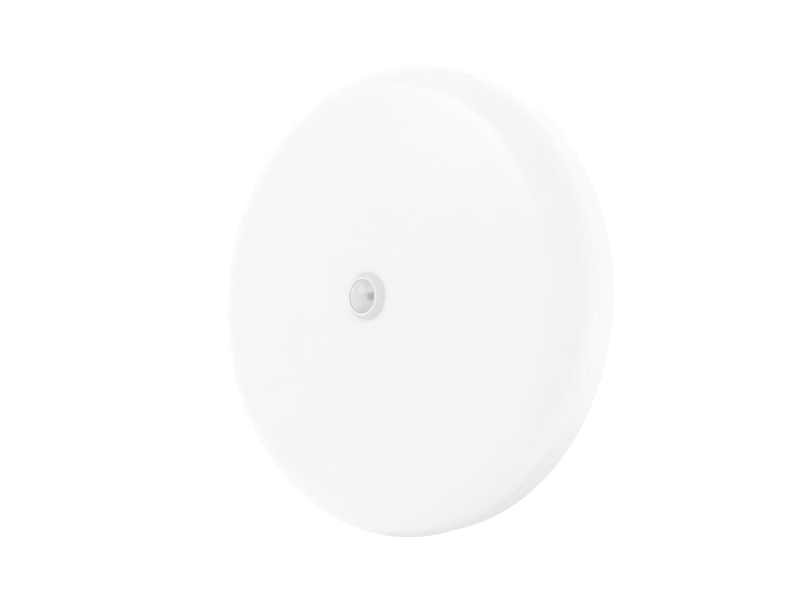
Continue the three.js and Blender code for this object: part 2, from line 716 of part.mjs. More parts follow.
// The board's two screws stand at opposite corners: upper left and lower right.
function boardScrew(name, side) {
  const made = piece(`board_screw_${name}`, screw(2.4, 1.5, 1, 4), STEEL);
  return at(made, side * BOARD_SCREW_X, BOARD_Z - side * BOARD_SCREW_Z, BOARD_FRONT + 0.2);
}

function coverScrew(name, side) {
  const made = piece(`cover_screw_${name}`, screw(3, 2, 1.3, 9), STEEL);
  return at(made, side * COVER_SCREW_X, COVER_SCREW_Z, COVER_TOP + 0.2);
}

const driver = group(
  piece("driver_board", driverBoard(), BOARD_GREEN),
  onDriverBoard,
  at(piece("sensor_plug", sensorPlug(), SOCKET_WHITE), SOCKET_X, SOCKET_Z, BOARD_FRONT + 0.1),
  boardScrew("left", -1),
  boardScrew("right", 1),
  terminal,
  piece("driver_cover", driverCover(), PAN_WHITE),
  coverScrew("left", -1),
  coverScrew("right", 1),
);

const sensorScrew = (name, side) =>
  at(piece(`sensor_screw_${name}`, screw(1.9, 1.3, 0.8, 3.2), STEEL), 0, side * SENSOR_SCREW_Z, 0.1);

const sensorFace = group(
  piece("pyro_can", pyroCan(), STEEL),
  piece("pyro_window", pyroWindow(), WINDOW_DARK),
  at(piece("light_cell", lightCell(), FILM_YELLOW), 0, 8.4),
  at(piece("sensor_chip", flatChip(8.6, 3.9, 6), BLACK_PLASTIC), 0, -8.6),
  at(piece("time_trimmer", trimmerBody(), SOCKET_WHITE), -TRIMMER_X, 0),
  at(piece("time_knob", trimmerKnob(), KNOB_BLUE), -TRIMMER_X, 0),
  at(piece("lux_trimmer", trimmerBody(), SOCKET_WHITE), TRIMMER_X, 0),
  at(piece("lux_knob", trimmerKnob(), KNOB_BLUE), TRIMMER_X, 0),
  sensorScrew("top", 1),
  sensorScrew("bottom", -1),
);
at(sensorFace, 0, 0, SENSOR_FRONT);

const sensor = group(piece("sensor_board", sensorBoard(), MASK_WHITE), sensorFace);

const clips = group(
  ...clipAngles().map((degrees, i) =>
    turnedBy(
      group(
        piece(`retaining_clip_${i + 1}`, retainingClip(), SPRING_STEEL),
        at(piece(`clip_screw_${i + 1}`, screw(2.9, 1.7, 1.3, 3), STEEL), CLIP_SCREW_RADIUS, 0, 7.2),
      ),
      degrees,
    )),
);

const wiring = group(
  piece("led_lead_red", wire(ROUTES.ledRed, 0.8, 18), WIRE_RED),
  piece("led_lead_black", wire(ROUTES.ledBlack, 0.8, 18), WIRE_BLACK),
  piece("live_link", wire(ROUTES.live, 0.9, 14), WIRE_BROWN),
  piece("neutral_link", wire(ROUTES.neutral, 0.9, 14), WIRE_BLUE),
  piece("sensor_cable", wire(ROUTES.sensor, 0.65, 10, 3), WIRE_WHITE),
);

const cover = group(
  piece("diffuser", diffuser(), OPAL),
  piece("lens_collar", lensCollar(), PAN_WHITE),
  piece("fresnel_lens", fresnelLens(), LENS),
  piece("lens_clamp_ring", lensClampRing(), PAN_WHITE),
);

export default group(wallSide, lightSource, driver, sensor, clips, wiring, cover);
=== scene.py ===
"""A round opal wall light with a motion sensor in its middle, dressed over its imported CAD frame.

Metres, +Z up. The lamp faces -Y and its back lies on the plane y = 0, so the depth of a point,
its distance in front of the wall, is -y. Unless placed otherwise, round pieces turn about Y.
"""

import json
import math

import bmesh
import bpy
from mathutils import Matrix, Vector

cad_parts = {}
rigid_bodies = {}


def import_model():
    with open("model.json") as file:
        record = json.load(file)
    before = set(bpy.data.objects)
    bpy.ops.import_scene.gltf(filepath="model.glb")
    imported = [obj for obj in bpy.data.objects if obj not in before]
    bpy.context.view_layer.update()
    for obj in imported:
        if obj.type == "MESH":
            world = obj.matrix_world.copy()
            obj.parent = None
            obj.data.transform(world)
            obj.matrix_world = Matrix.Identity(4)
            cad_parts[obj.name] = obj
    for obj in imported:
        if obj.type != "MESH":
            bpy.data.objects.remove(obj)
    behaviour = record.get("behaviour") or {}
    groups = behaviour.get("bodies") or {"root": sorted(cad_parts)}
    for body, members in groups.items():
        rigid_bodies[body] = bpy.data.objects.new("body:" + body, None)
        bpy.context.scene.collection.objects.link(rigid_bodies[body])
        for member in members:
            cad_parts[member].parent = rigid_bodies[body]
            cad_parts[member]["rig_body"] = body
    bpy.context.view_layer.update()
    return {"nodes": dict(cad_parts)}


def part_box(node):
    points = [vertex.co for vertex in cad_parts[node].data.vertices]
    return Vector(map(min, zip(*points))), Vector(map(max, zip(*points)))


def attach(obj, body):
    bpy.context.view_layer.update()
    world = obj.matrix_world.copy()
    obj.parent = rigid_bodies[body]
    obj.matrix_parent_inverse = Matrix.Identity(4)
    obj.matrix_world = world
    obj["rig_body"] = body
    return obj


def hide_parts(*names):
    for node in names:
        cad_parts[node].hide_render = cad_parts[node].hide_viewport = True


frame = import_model()
NODES = frame["nodes"]
MM = 0.001
TURN = 2 * math.pi

# ------------------------ sizes from the frame
DIFFUSER_LOW, DIFFUSER_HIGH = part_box("diffuser")
PAN_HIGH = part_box("base_pan")[1]
RADIUS = DIFFUSER_HIGH.x
FACE = -DIFFUSER_LOW.y  # depth of the face at the lamp's centre
TONGUE_BACK = -DIFFUSER_HIGH.y
PAN_RADIUS = PAN_HIGH.x
PAN_BACK = -PAN_HIGH.y
SHOULDER = 18 * MM
CROWN = 2 * MM  # how far the face bulges
WALL = 2 * MM
RIM = FACE - CROWN - SHOULDER  # depth where the diffuser's rounded edge begins
PARTING = RIM - 0.3 * MM  # depth of the pan's front edge
SHOULDER_CENTRE = RADIUS - SHOULDER
PAN_INSIDE = RADIUS - 2.3 * MM
TONGUE_OUTSIDE = PAN_INSIDE - 0.4 * MM
TONGUE_INSIDE = TONGUE_OUTSIDE - 1.5 * MM
SENSOR_HOLE = 9.4 * MM  # radius of the diffuser's hole for the collar
LED_BAND = 71 * MM  # radius of the LED board's screws and of the bar's access holes
CLIP_BAND = 101 * MM  # radius of the retaining clips' screws

# sides of a turned piece
ROUND_LARGE = 240
ROUND_MEDIUM = 96
ROUND_SMALL = 32


# ------------------------ materials
def set_range(node, *values):
    for key, value in zip(("From Min", "From Max", "To Min", "To Max"), values):
        node.inputs[key].default_value = value


class Recipe:
    """A node material that starts from one Principled shader."""

    def __init__(self, name, color, roughness, metallic=0.0):
        self.material = bpy.data.materials.new(name)
        self.material.use_nodes = True
        self.material.diffuse_color = (*color, 1)
        self.tree = self.material.node_tree
        self.shader = self.tree.nodes["Principled BSDF"]
        self.set("Base Color", (*color, 1))
        self.set("Roughness", roughness)
        self.set("Metallic", metallic)

    def set(self, socket, value):
        self.shader.inputs[socket].default_value = value

    def node(self, kind, **values):
        made = self.tree.nodes.new(kind)
        for key, value in values.items():
            if key in made.inputs:
                made.inputs[key].default_value = value
            else:
                setattr(made, key, value)
        return made

    def link(self, source, output, target, socket):
        self.tree.links.new(source.outputs[output], target.inputs[socket])

    def position(self, stretch=(1, 1, 1)):
        place = self.node("ShaderNodeTexCoord")
        scaled = self.node("ShaderNodeMapping", Scale=stretch)
        self.link(place, "Object", scaled, "Vector")
        return scaled

    def noise(self, scale, detail, stretch=(1, 1, 1)):
        texture = self.node("ShaderNodeTexNoise", Scale=scale, Detail=detail)
        self.link(self.position(stretch), "Vector", texture, "Vector")
        return texture

    def spread(self, source, output, low, high, socket, mid=(0.2, 0.8)):
        """Turns a 0 to 1 pattern into a number between low and high, for one input of the shader."""
        ranged = self.node("ShaderNodeMapRange")
        set_range(ranged, *mid, low, high)
        self.link(source, output, ranged, "Value")
        self.link(ranged, "Result", self.shader, socket)

    def tint(self, source, output, dark, light, mid=(0.2, 0.8)):
        """Turns a pattern into a colour between dark and light."""
        ramp = self.node("ShaderNodeValToRGB")
        for stop, place, color in zip(ramp.color_ramp.elements, mid, (dark, light)):
            stop.position = place
            stop.color = (*color, 1)
        self.link(source, output, ramp, "Fac")
        self.link(ramp, "Color", self.shader, "Base Color")

    def bump(self, source, output, height, strength):
        bump = self.node("ShaderNodeBump", Strength=strength, Distance=height)
        self.link(source, output, bump, "Height")
        self.link(bump, "Normal", self.shader, "Normal")


def dimmed(color, share):
    return tuple(channel * share for channel in color)


def moulded(name, color, roughness, grain=1400, height=0.00002, sheen=0.0):
    """Moulded plastic: a fine skin texture, and a gloss that drifts a little over the surface."""
    variation = 0.05
    recipe = Recipe(name, color, roughness)
    recipe.set("IOR", 1.49)
    recipe.set("Coat Weight", sheen)
    recipe.set("Coat Roughness", 0.12)
    drift = recipe.noise(28, 2)
    recipe.spread(drift, "Fac", roughness - variation, roughness + variation, "Roughness")
    recipe.tint(recipe.noise(9, 2), "Fac", dimmed(color, 0.985), color)
    recipe.bump(recipe.noise(grain, 3), "Fac", height, 0.35)
    return recipe.material


def opal_plastic():
    """Satin opal acrylic: light sinks a little way in, so its shading stays soft."""
    recipe = Recipe("opal_plastic", OPAL_COLOR, 0.3)
    recipe.set("IOR", 1.49)
    recipe.set("Subsurface Weight", 0.8)
    recipe.set("Subsurface Radius", (1.0, 0.99, 0.98))
    recipe.set("Subsurface Scale", 0.003)
    recipe.set("Coat Weight", 0.5)
    recipe.set("Coat Roughness", 0.2)
    recipe.spread(recipe.noise(22, 2), "Fac", 0.28, 0.34, "Roughness")
    recipe.tint(recipe.noise(6, 2), "Fac", dimmed(OPAL_COLOR, 0.993), OPAL_COLOR)
    recipe.bump(recipe.noise(1800, 2), "Fac", 0.00001, 0.25)
    return recipe.material


def lens_plastic():
    """Cloudy polyethylene, whose facets let through more or less of what is behind them."""
    recipe = Recipe("lens_plastic", LENS_COLOR, 0.3)
    recipe.set("IOR", 1.51)
    clearness = recipe.node("ShaderNodeAttribute", attribute_name="clearness")
    recipe.link(clearness, "Fac", recipe.shader, "Transmission Weight")
    recipe.tint(recipe.noise(260, 2), "Fac", dimmed(LENS_COLOR, 0.97), LENS_COLOR)
    recipe.spread(recipe.noise(320, 2), "Fac", 0.07, 0.1, "Roughness")
    recipe.bump(recipe.noise(2600, 2), "Fac", 0.00001, 0.3)
    return recipe.material


def brushed(name, color, roughness, along, height=0.00001, grain=2200):
    """Rolled or plated metal, with fine lines along one axis, or an even grain along none."""
    recipe = Recipe(name, color, roughness, 1.0)
    stretch = {"x": (0.04, 1, 1), "y": (1, 0.04, 1), "none": (1, 1, 1)}[along]
    lines = recipe.noise(grain, 2, stretch)
    recipe.spread(lines, "Fac", roughness - 0.06, roughness + 0.1, "Roughness")
    cloudy = recipe.noise(120, 3)
    recipe.tint(cloudy, "Fac", dimmed(color, 0.86), color)
    recipe.bump(lines, "Fac", height, 0.4)
    return recipe.material


def foam():
    recipe = Recipe("foam", (0.075, 0.078, 0.082), 0.95)
    cells = recipe.node("ShaderNodeTexVoronoi", Scale=1500)
    recipe.link(recipe.position(), "Vector", cells, "Vector")
    recipe.tint(cells, "Distance", (0.03, 0.031, 0.033), (0.11, 0.114, 0.12), (0.1, 0.6))
    recipe.bump(cells, "Distance", 0.00025, 0.6)
    return recipe.material


def circuit_board(name, mask, track):
    """Solder mask over copper tracks, which show as a lighter, raised pattern."""
    recipe = Recipe(name, mask, 0.35)
    recipe.set("Coat Weight", 0.4)
    recipe.set("Coat Roughness", 0.15)
    cells = recipe.node("ShaderNodeTexBrick", Scale=180, offset=0.37)
    cells.inputs["Mortar Size"].default_value = 0.035
    cells.inputs["Brick Width"].default_value = 1.1
    cells.inputs["Row Height"].default_value = 0.42
    turned = recipe.position()
    turned.inputs["Rotation"].default_value = (math.pi / 2, 0, 0)
    recipe.link(turned, "Vector", cells, "Vector")
    recipe.tint(cells, "Fac", mask, track, (0.3, 0.7))
    recipe.bump(cells, "Fac", 0.00004, 0.5)
    return recipe.material


def wire_skin(name, color):
    recipe = Recipe(name, color, 0.42)
    recipe.set("IOR", 1.5)
    recipe.tint(recipe.noise(160, 2), "Fac", dimmed(color, 0.85), color)
    recipe.bump(recipe.noise(900, 2), "Fac", 0.00003, 0.4)
    return recipe.material


OPAL_COLOR = (0.805, 0.805, 0.802)
LENS_COLOR = (0.88, 0.883, 0.885)
WHITE = moulded("moulded_white", (0.82, 0.82, 0.816), 0.32, sheen=0.25)
# a darker copy of the moulded white: painted shade for the sensor collar's flank
COLLAR_PAINTED_SHADE_WHITE = moulded("collar_painted_shade_white", (0.7, 0.7, 0.698), 0.3, sheen=0.3)
OPAL = opal_plastic()
LENS = lens_plastic()
ZINC = brushed("zinc_plate", (0.62, 0.63, 0.64), 0.34, "x")
SCREW_STEEL = brushed("screw_steel", (0.6, 0.6, 0.62), 0.28, "none")
SPRING = brushed("spring_steel", (0.5, 0.51, 0.54), 0.24, "y")
FOAM = foam()
RUBBER = moulded("black_rubber", (0.022, 0.022, 0.024), 0.72, 900, 0.00004)
MASK_WHITE = moulded("white_solder_mask", (0.8, 0.8, 0.78), 0.4, 500, 0.00001)
PHOSPHOR = moulded("phosphor", (0.78, 0.58, 0.1), 0.5, 3000, 0.00002)
PACKAGE = moulded("led_package", (0.85, 0.84, 0.8), 0.4, 3000, 0.00001)
SOLDER = brushed("solder", (0.72, 0.72, 0.72), 0.3, "none")
CAN = brushed("nickel_can", (0.7, 0.68, 0.64), 0.26, "none", 0.000002, 300)
BOARD = circuit_board("green_board", (0.018, 0.12, 0.045), (0.035, 0.2, 0.08))
BLACK = moulded("black_plastic", (0.018, 0.018, 0.02), 0.45, 1100, 0.00003)
SLEEVE = moulded("capacitor_sleeve", (0.012, 0.014, 0.02), 0.25, 400, 0.00001)
IVORY = moulded("ivory_plastic", (0.74, 0.71, 0.63), 0.42)
ORANGE = moulded("orange_plastic", (0.78, 0.17, 0.025), 0.4)
BLUE = moulded("blue_plastic", (0.045, 0.15, 0.44), 0.35)
FILM = moulded("film_yellow", (0.7, 0.42, 0.04), 0.35, 300, 0.00002)
TAPE = moulded("yellow_tape", (0.75, 0.5, 0.06), 0.3, 200, 0.00001)
FERRITE = moulded("ferrite", (0.045, 0.045, 0.048), 0.6, 700, 0.00005)
RESISTOR = moulded("resistor_green", (0.07, 0.23, 0.12), 0.45, 700, 0.00003)
INFRARED = moulded("infrared_window", (0.03, 0.03, 0.045), 0.12, 200, 0.000002)
CELL = moulded("cell_ceramic", (0.6, 0.5, 0.36), 0.4)
RED = wire_skin("wire_red", (0.46, 0.018, 0.02))
DARK = wire_skin("wire_black", (0.012, 0.012, 0.013))
BROWN = wire_skin("wire_brown", (0.14, 0.05, 0.018))
SKY = wire_skin("wire_blue", (0.025, 0.11, 0.4))
PALE = wire_skin("wire_white", (0.72, 0.72, 0.7))
FLOOR_PAINT = moulded("floor_paint", (0.93, 0.93, 0.93), 0.8, 30, 0.0001)


# ------------------------ mesh building
def arc(radius, depth, size, start, end, steps):
    """Points of an arc in a section, between two angles in degrees; 0 points outwards, 90 forwards."""
    points = []
    for i in range(steps + 1):
        angle = math.radians(start + (end - start) * i / steps)
        points.append((radius + size * math.cos(angle), depth + size * math.sin(angle)))
    return points


def rounded(corners, radius, steps=3, closed=True):
    """An outline whose corners are rounded to a radius, or less where an edge is short."""
    points = [Vector(corner) for corner in corners]
    made = []
    for i, corner in enumerate(points):
        before, after = points[i - 1], points[(i + 1) % len(points)]
        if not closed and i in (0, len(points) - 1):
            made.append(tuple(corner))
            continue
        back, on = before - corner, after - corner
        angle = back.angle(on)
        if angle > math.radians(172):
            made.append(tuple(corner))
            continue
        reach = min(radius / math.tan(angle / 2), 0.45 * back.length, 0.45 * on.length)
        first, last = corner + back.normalized() * reach, corner + on.normalized() * reach
        for k in range(steps + 1):
            t = k / steps
            made.append(tuple((1 - t) ** 2 * first + 2 * t * (1 - t) * corner + t * t * last))
    return made


def new_object(name, data):
    made = bpy.data.objects.new(name, data)
    bpy.context.scene.collection.objects.link(made)
    return made


class Builder:
    """Collects closed solids into one mesh, each with its own material."""

    def __init__(self):
        self.bm = bmesh.new()
        self.materials = []

    def index(self, material):
        if material not in self.materials:
            self.materials.append(material)
        return self.materials.index(material)

    def faces(self, vertices, faces, material, place=None):
        if place is not None:
            vertices = [place @ Vector(v) for v in vertices]
        made = [self.bm.verts.new(v) for v in vertices]
        slot = self.index(material)
        fresh = []
        for face in faces:
            new = self.bm.faces.new([made[i] for i in face])
            new.material_index = slot
            new.smooth = True
            fresh.append(new)
        bmesh.ops.recalc_face_normals(self.bm, faces=fresh)
        return fresh

    def lathe(self, section, sides, material, place=None):
        """A section of (radius, depth) points turned about Y, closed on itself or on the axis."""
        vertices, rings = [], []
        for radius, depth in section:
            count = 1 if radius < 1e-7 else sides
            rings.append(list(range(len(vertices), len(vertices) + count)))
            for k in range(count):
                angle = TURN * k / sides
                vertices.append((radius * math.cos(angle), -depth, radius * math.sin(angle)))
        on_axis = len(rings[0]) == 1 and len(rings[-1]) == 1
        pairs = list(zip(rings, rings[1:])) + ([] if on_axis else [(rings[-1], rings[0])])
        faces = []
        for one, two in pairs:
            for k in range(sides):
                around = ((one, k), (one, k + 1), (two, k + 1), (two, k))
                unique = list(dict.fromkeys(ring[j % len(ring)] for ring, j in around))
                if len(unique) > 2:
                    faces.append(unique)
        return self.faces(vertices, faces, material, place)

    def prism(self, outline, near, far, material, place=None):
        """An outline of (x, z) points given thickness between two depths."""
        count = len(outline)
        vertices = [(x, -depth, z) for depth in (near, far) for x, z in outline]
        faces = [list(range(count)), list(range(2 * count - 1, count - 1, -1))]
        faces += [[i, (i + 1) % count, count + (i + 1) % count, count + i] for i in range(count)]
        return self.faces(vertices, faces, material, place)

    def slab(self, low, high, bevel, material, place=None, segments=2):
        """A box between two corners, with rounded edges."""
        box = bmesh.new()
        bmesh.ops.create_cube(box, size=1)
        middle, size = (Vector(low) + Vector(high)) / 2, Vector(high) - Vector(low)
        for vertex in box.verts:
            vertex.co = Vector(vertex.co[i] * size[i] + middle[i] for i in range(3))
        if bevel:
            bmesh.ops.bevel(
                box, geom=box.edges[:], offset=bevel, segments=segments, profile=0.7, affect="EDGES")
        vertices = [tuple(v.co) for v in box.verts]
        faces = [[v.index for v in f.verts] for f in box.faces]
        box.free()
        return self.faces(vertices, faces, material, place)

    def plug(self, radius, near, far, material, place=None, sides=ROUND_SMALL):
        """A plain round bar between two depths, for a boss or for cutting a hole."""
        return self.lathe([(0, near), (radius, near), (radius, far), (0, far)], sides, material, place)

    def piece(self, name, sharp=32):
        mesh = bpy.data.meshes.new(name)
        self.bm.to_mesh(mesh)
        self.bm.free()
        for material in self.materials:
            mesh.materials.append(material)
        mesh.set_sharp_from_angle(angle=math.radians(sharp))
        return new_object(name, mesh)


def stands_for(piece, node):
    """Shows a piece in place of one CAD node, on that node's body."""
    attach(piece, NODES[node]["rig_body"])
    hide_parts(node)


def carve(piece, tool, operation="DIFFERENCE", sharp=32):
    """Joins or cuts a piece with a builder's solids, and keeps the result as plain mesh."""
    cutter = tool.piece("cutter")
    modifier = piece.modifiers.new("carve", "BOOLEAN")
    modifier.operation = operation
    modifier.solver = "MANIFOLD"
    modifier.object = cutter
    bpy.context.view_layer.update()
    made = bpy.data.meshes.new_from_object(piece.evaluated_get(bpy.context.evaluated_depsgraph_get()))
    piece.modifiers.clear()
    old, old_cutter = piece.data, cutter.data
    piece.data = made
    bpy.data.objects.remove(cutter)
    bpy.data.meshes.remove(old)
    bpy.data.meshes.remove(old_cutter)
    made.set_sharp_from_angle(angle=math.radians(sharp))
    return piece


def round_piece(name, node, outline, fillet, material, sides=ROUND_MEDIUM, place=None):
    """A turned piece whose outline of (radius, depth) points gets rounded corners."""
    body = Builder()
    body.lathe(rounded(outline, fillet), sides, material, place)
    stands_for(body.piece(name, 50), node)


def cross(reach, half, degrees):
    """The outline of an upright cross, turned by some degrees."""
    corner = [(reach, -half), (reach, half), (half, half)]
    outline = []
    for quarter in range(4):
        turn = Matrix.Rotation(math.radians(90 * quarter + degrees), 2)
        outline += [tuple(turn @ Vector(point)) for point in corner]
    return outline


def spot(radius, degrees):
    """The point at a radius and an angle that goes round from +X towards +Z."""
    angle = math.radians(degrees)
    return Vector((radius * math.cos(angle), 0, radius * math.sin(angle)))


def at(x=0, z=0, depth=0):
    return Matrix.Translation((x, -depth, z))


def over(point):
    return at(point.x, point.z)


def middle(node):
    low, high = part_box(node)
    return (low + high) / 2


# ------------------------ diffuser and sensor window
def face_points(inset, steps):
    """The domed face, from its shoulder in to the sensor's hole."""
    sphere = (SHOULDER_CENTRE**2 + CROWN**2) / (2 * CROWN)
    points = []
    for i in range(steps + 1):
        radius = SHOULDER_CENTRE + (SENSOR_HOLE - SHOULDER_CENTRE) * i / steps
        points.append((radius, FACE - inset - (sphere - math.sqrt(sphere**2 - radius**2))))
    return points


def diffuser_shell():
    """The face, its rounded shoulder, and the tongue inside the pan, which is thicker at its back."""
    inner = SHOULDER - WALL
    thicker, thicker_front, thicker_back = 0.5 * MM, 12.2 * MM, 11.4 * MM
    wall_angle = math.degrees(math.acos((TONGUE_INSIDE - SHOULDER_CENTRE) / inner))
    hole = SENSOR_HOLE
    tongue = rounded(
        [
            (TONGUE_INSIDE, thicker_front),
            (TONGUE_INSIDE - thicker, thicker_back),
            (TONGUE_INSIDE - thicker, TONGUE_BACK),
            (TONGUE_OUTSIDE, TONGUE_BACK),
            (TONGUE_OUTSIDE, RIM),
        ],
        0.25 * MM,
        closed=False,
    )
    edge = [(RADIUS - 0.35 * MM, RIM), (RADIUS - 0.1 * MM, RIM + 0.1 * MM), (RADIUS, RIM + 0.35 * MM)]
    section = (
        tongue
        + edge
        + arc(SHOULDER_CENTRE, RIM, SHOULDER, 3, 87.6, 28)
        + face_points(0, 14)[1:-1]
        + [(hole + 0.5 * MM, FACE), (hole + 0.12 * MM, FACE - 0.12 * MM), (hole, FACE - 0.5 * MM)]
        + [(hole, FACE - WALL)]
        + list(reversed(face_points(WALL, 8)))[1:]
        + arc(SHOULDER_CENTRE, RIM, inner, 84, wall_angle, 10)
    )
    shell = Builder()
    shell.lathe(section, ROUND_LARGE, OPAL)
    stands_for(shell.piece("diffuser_shell", 40), "diffuser")


COLLAR_LOW, COLLAR_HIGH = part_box("lens_collar")
COLLAR_BASE = COLLAR_HIGH.x
COLLAR_NECK = 9.1 * MM  # radius of the part that goes through the diffuser
LIP = -COLLAR_LOW.y  # depth of the collar's front edge
LENS_LOW, LENS_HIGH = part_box("fresnel_lens")
LENS_SEAT = LENS_HIGH.x + 0.25 * MM
LENS_RADIUS = 7.9 * MM
LENS_EDGE = LIP - 0.3 * MM  # depth of the dome's foot
LENS_RISE = -LENS_LOW.y - LENS_EDGE


def collar_ring():
    """A cone whose flank is painted shade, a darker white than its lip, which takes the lighter opal as
    painted light; behind the face a neck with four barbed fingers.
    """
    seat = FACE - 0.02 * MM
    barb = FACE - WALL - 0.4 * MM
    mouth, ledge = LENS_RADIUS + 0.06 * MM, LIP - 1.1 * MM
    slot_reach, slot_half = 12 * MM, 0.8 * MM
    outline = [
        (LENS_SEAT, barb - 1.2 * MM),
        (COLLAR_NECK + 0.2 * MM, barb - 1.2 * MM),
        (COLLAR_NECK + 0.9 * MM, barb - 0.1 * MM),
        (COLLAR_NECK, barb),
        (COLLAR_NECK, seat),
        (COLLAR_BASE - 0.03 * MM, seat),
        (COLLAR_BASE, seat),
        (COLLAR_BASE - 0.4 * MM, seat + 0.2 * MM),
        (COLLAR_BASE - 0.75 * MM, seat + 0.8 * MM),
        (COLLAR_BASE - 1.75 * MM, LIP - 0.25 * MM),
        (COLLAR_BASE - 2.1 * MM, LIP),
        (mouth, LIP),
        (mouth, ledge),
        (LENS_SEAT, ledge),
    ]
    ring = Builder()
    flank = ring.lathe(rounded(outline, 0.1 * MM), ROUND_MEDIUM * 2, COLLAR_PAINTED_SHADE_WHITE)
    # the lip's faces take the lighter opal: painted light, against the flank's painted shade
    lip = ring.index(OPAL)
    for face in flank:
        if -face.calc_center_median().y > LIP - 0.2 * MM:
            face.material_index = lip
    piece = ring.piece("sensor_collar", 50)
    slots = Builder()
    slots.prism(cross(slot_reach, slot_half, 45), 0, barb + 0.1 * MM, COLLAR_PAINTED_SHADE_WHITE)
    stands_for(carve(piece, slots, sharp=50), "lens_collar")


def lens_facets():
    """The lens's facets, as (direction, clearness): one ahead, a ring of six, and a ring of twelve."""
    facets = [(Vector((0, -1, 0)), 0.36)]
    for tilt, count in ((20, 6), (38, 12)):
        side = math.sin(math.radians(tilt))
        ahead = math.cos(math.radians(tilt))
        for i in range(count):
            angle = TURN * i / count
            direction = Vector((side * math.cos(angle), -ahead, side * math.sin(angle)))
            # painted shade: facets below and towards +X are made clearer, so more of the dark inside
            # shows through and that side reads darker
            drift = 0.06 * (1 + math.cos(angle + math.radians(45)))  # most below, towards +X
            uneven = 0.015 * ((5 * i + 3) % 7)
            facets.append((direction, 0.24 + drift + uneven))
    clearest = 7  # the first of the twelve, through which the camera sees the sensor's window
    facets[clearest] = (facets[clearest][0], 0.65)
    return facets


def fresnel_dome():
    """A thin dome with a smooth outside, grooves inside between its facets, and a cloudy rim."""
    skin, groove, groove_width = 0.7 * MM, 0.2 * MM, 0.012
    flange_front = -LENS_HIGH.y + 0.8 * MM
    frosted_rim = 0.3 * MM
    crispness = 20  # how soon one facet's clearness gives way to the next one's
    sphere = (LENS_RADIUS**2 + LENS_RISE**2) / (2 * LENS_RISE)
    centre = LENS_EDGE + LENS_RISE - sphere
    rim = math.degrees(math.acos(LENS_RADIUS / sphere))
    inner_rim = math.degrees(math.acos((LENS_RADIUS - skin) / (sphere - skin)))
    flange = -LENS_HIGH.y
    section = (
        [(0, centre + sphere - skin)]
        + arc(0, centre, sphere - skin, 90, inner_rim, 40)[1:]
        + [(LENS_RADIUS - skin, flange), (LENS_HIGH.x, flange), (LENS_HIGH.x, flange_front)]
        + [(LENS_RADIUS, flange_front)]
        + arc(0, centre, sphere, rim, 90, 24)[:-1]
        + [(0, centre + sphere)]
    )
    dome = Builder()
    dome.lathe(section, ROUND_MEDIUM * 2, LENS)
    facets = lens_facets()
    middle_point = Vector((0, -centre, 0))
    clearness = dome.bm.verts.layers.float.new("clearness")
    for vertex in dome.bm.verts:
        away = vertex.co - middle_point
        outward = away.normalized()
        nearest = sorted(((outward.dot(facing), clear) for facing, clear in facets), reverse=True)
        lead = nearest[0][0] - nearest[1][0]
        share = min(1, 0.5 + crispness * lead)
        facet_clearness = share * nearest[0][1] + (1 - share) * nearest[1][1]
        from_rim = LENS_RADIUS - math.hypot(vertex.co.x, vertex.co.z)
        vertex[clearness] = facet_clearness * min(1, max(0, from_rim / frosted_rim))
        on_inside = abs(away.length - sphere + skin) < 0.05 * MM and -vertex.co.y > LENS_EDGE - skin
        if on_inside:
            closeness = lead / groove_width
            vertex.co += outward * groove * math.exp(-closeness * closeness)
    stands_for(dome.piece("fresnel_dome", 60), "fresnel_lens")


def clamp_ring():
    low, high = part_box("lens_clamp_ring")
    bore = high.x - MM
    outline = [(bore, -high.y), (high.x, -high.y), (high.x, -low.y), (bore, -low.y)]
    round_piece("lens_retainer", "lens_clamp_ring", outline, 0.2 * MM, WHITE)


# ------------------------ pan, gasket, grommet
FLOOR = 8.2 * MM  # front of the pan's raised middle
REST_FLOOR = 4.2 * MM  # front of its outer floor
RECESS = 84.6 * MM  # radius where the raised middle ends
BAR_SCREW = abs(middle("bar_screw_left").x)
GROMMET = middle("cable_grommet")
LED_SCREW_ANGLES = (45, 135, 225, 315)
CLIP_ANGLES = (90, 210, 330)
CORNERS = [(x, z) for x in (-1, 1) for z in (-1, 1)]


def pan_dish():
    """The bare dish: a raised middle floor, a lower rim floor over the gasket, and the side wall."""
    back, wall_foot = FLOOR - WALL, 111 * MM
    flat = 20 * MM  # radius of the plain disc in the middle
    rear = [
        (flat, back),
        (RECESS - WALL, back),
        (RECESS, REST_FLOOR - WALL),
        (wall_foot - 0.4 * MM, REST_FLOOR - WALL),
        (wall_foot + 0.2 * MM, PAN_BACK),
        (PAN_RADIUS - 0.9 * MM, PAN_BACK),
        (PAN_RADIUS - 0.1 * MM, PAN_BACK + 0.9 * MM),
        (PAN_RADIUS, PARTING - 0.5 * MM),
        (PAN_RADIUS - 0.5 * MM, PARTING),
    ]
    front = [
        (PAN_INSIDE, PARTING),
        (PAN_INSIDE, 6 * MM),
        (wall_foot, REST_FLOOR),
        (RECESS + WALL, REST_FLOOR),
        (RECESS, FLOOR),
        (flat, FLOOR),
    ]
    dish = Builder()
    section = [(0, back)] + rounded(rear + front, 0.6 * MM, 4, closed=False) + [(0, FLOOR)]
    dish.lathe(section, ROUND_LARGE, WHITE)
    return dish.piece("pan_shell")


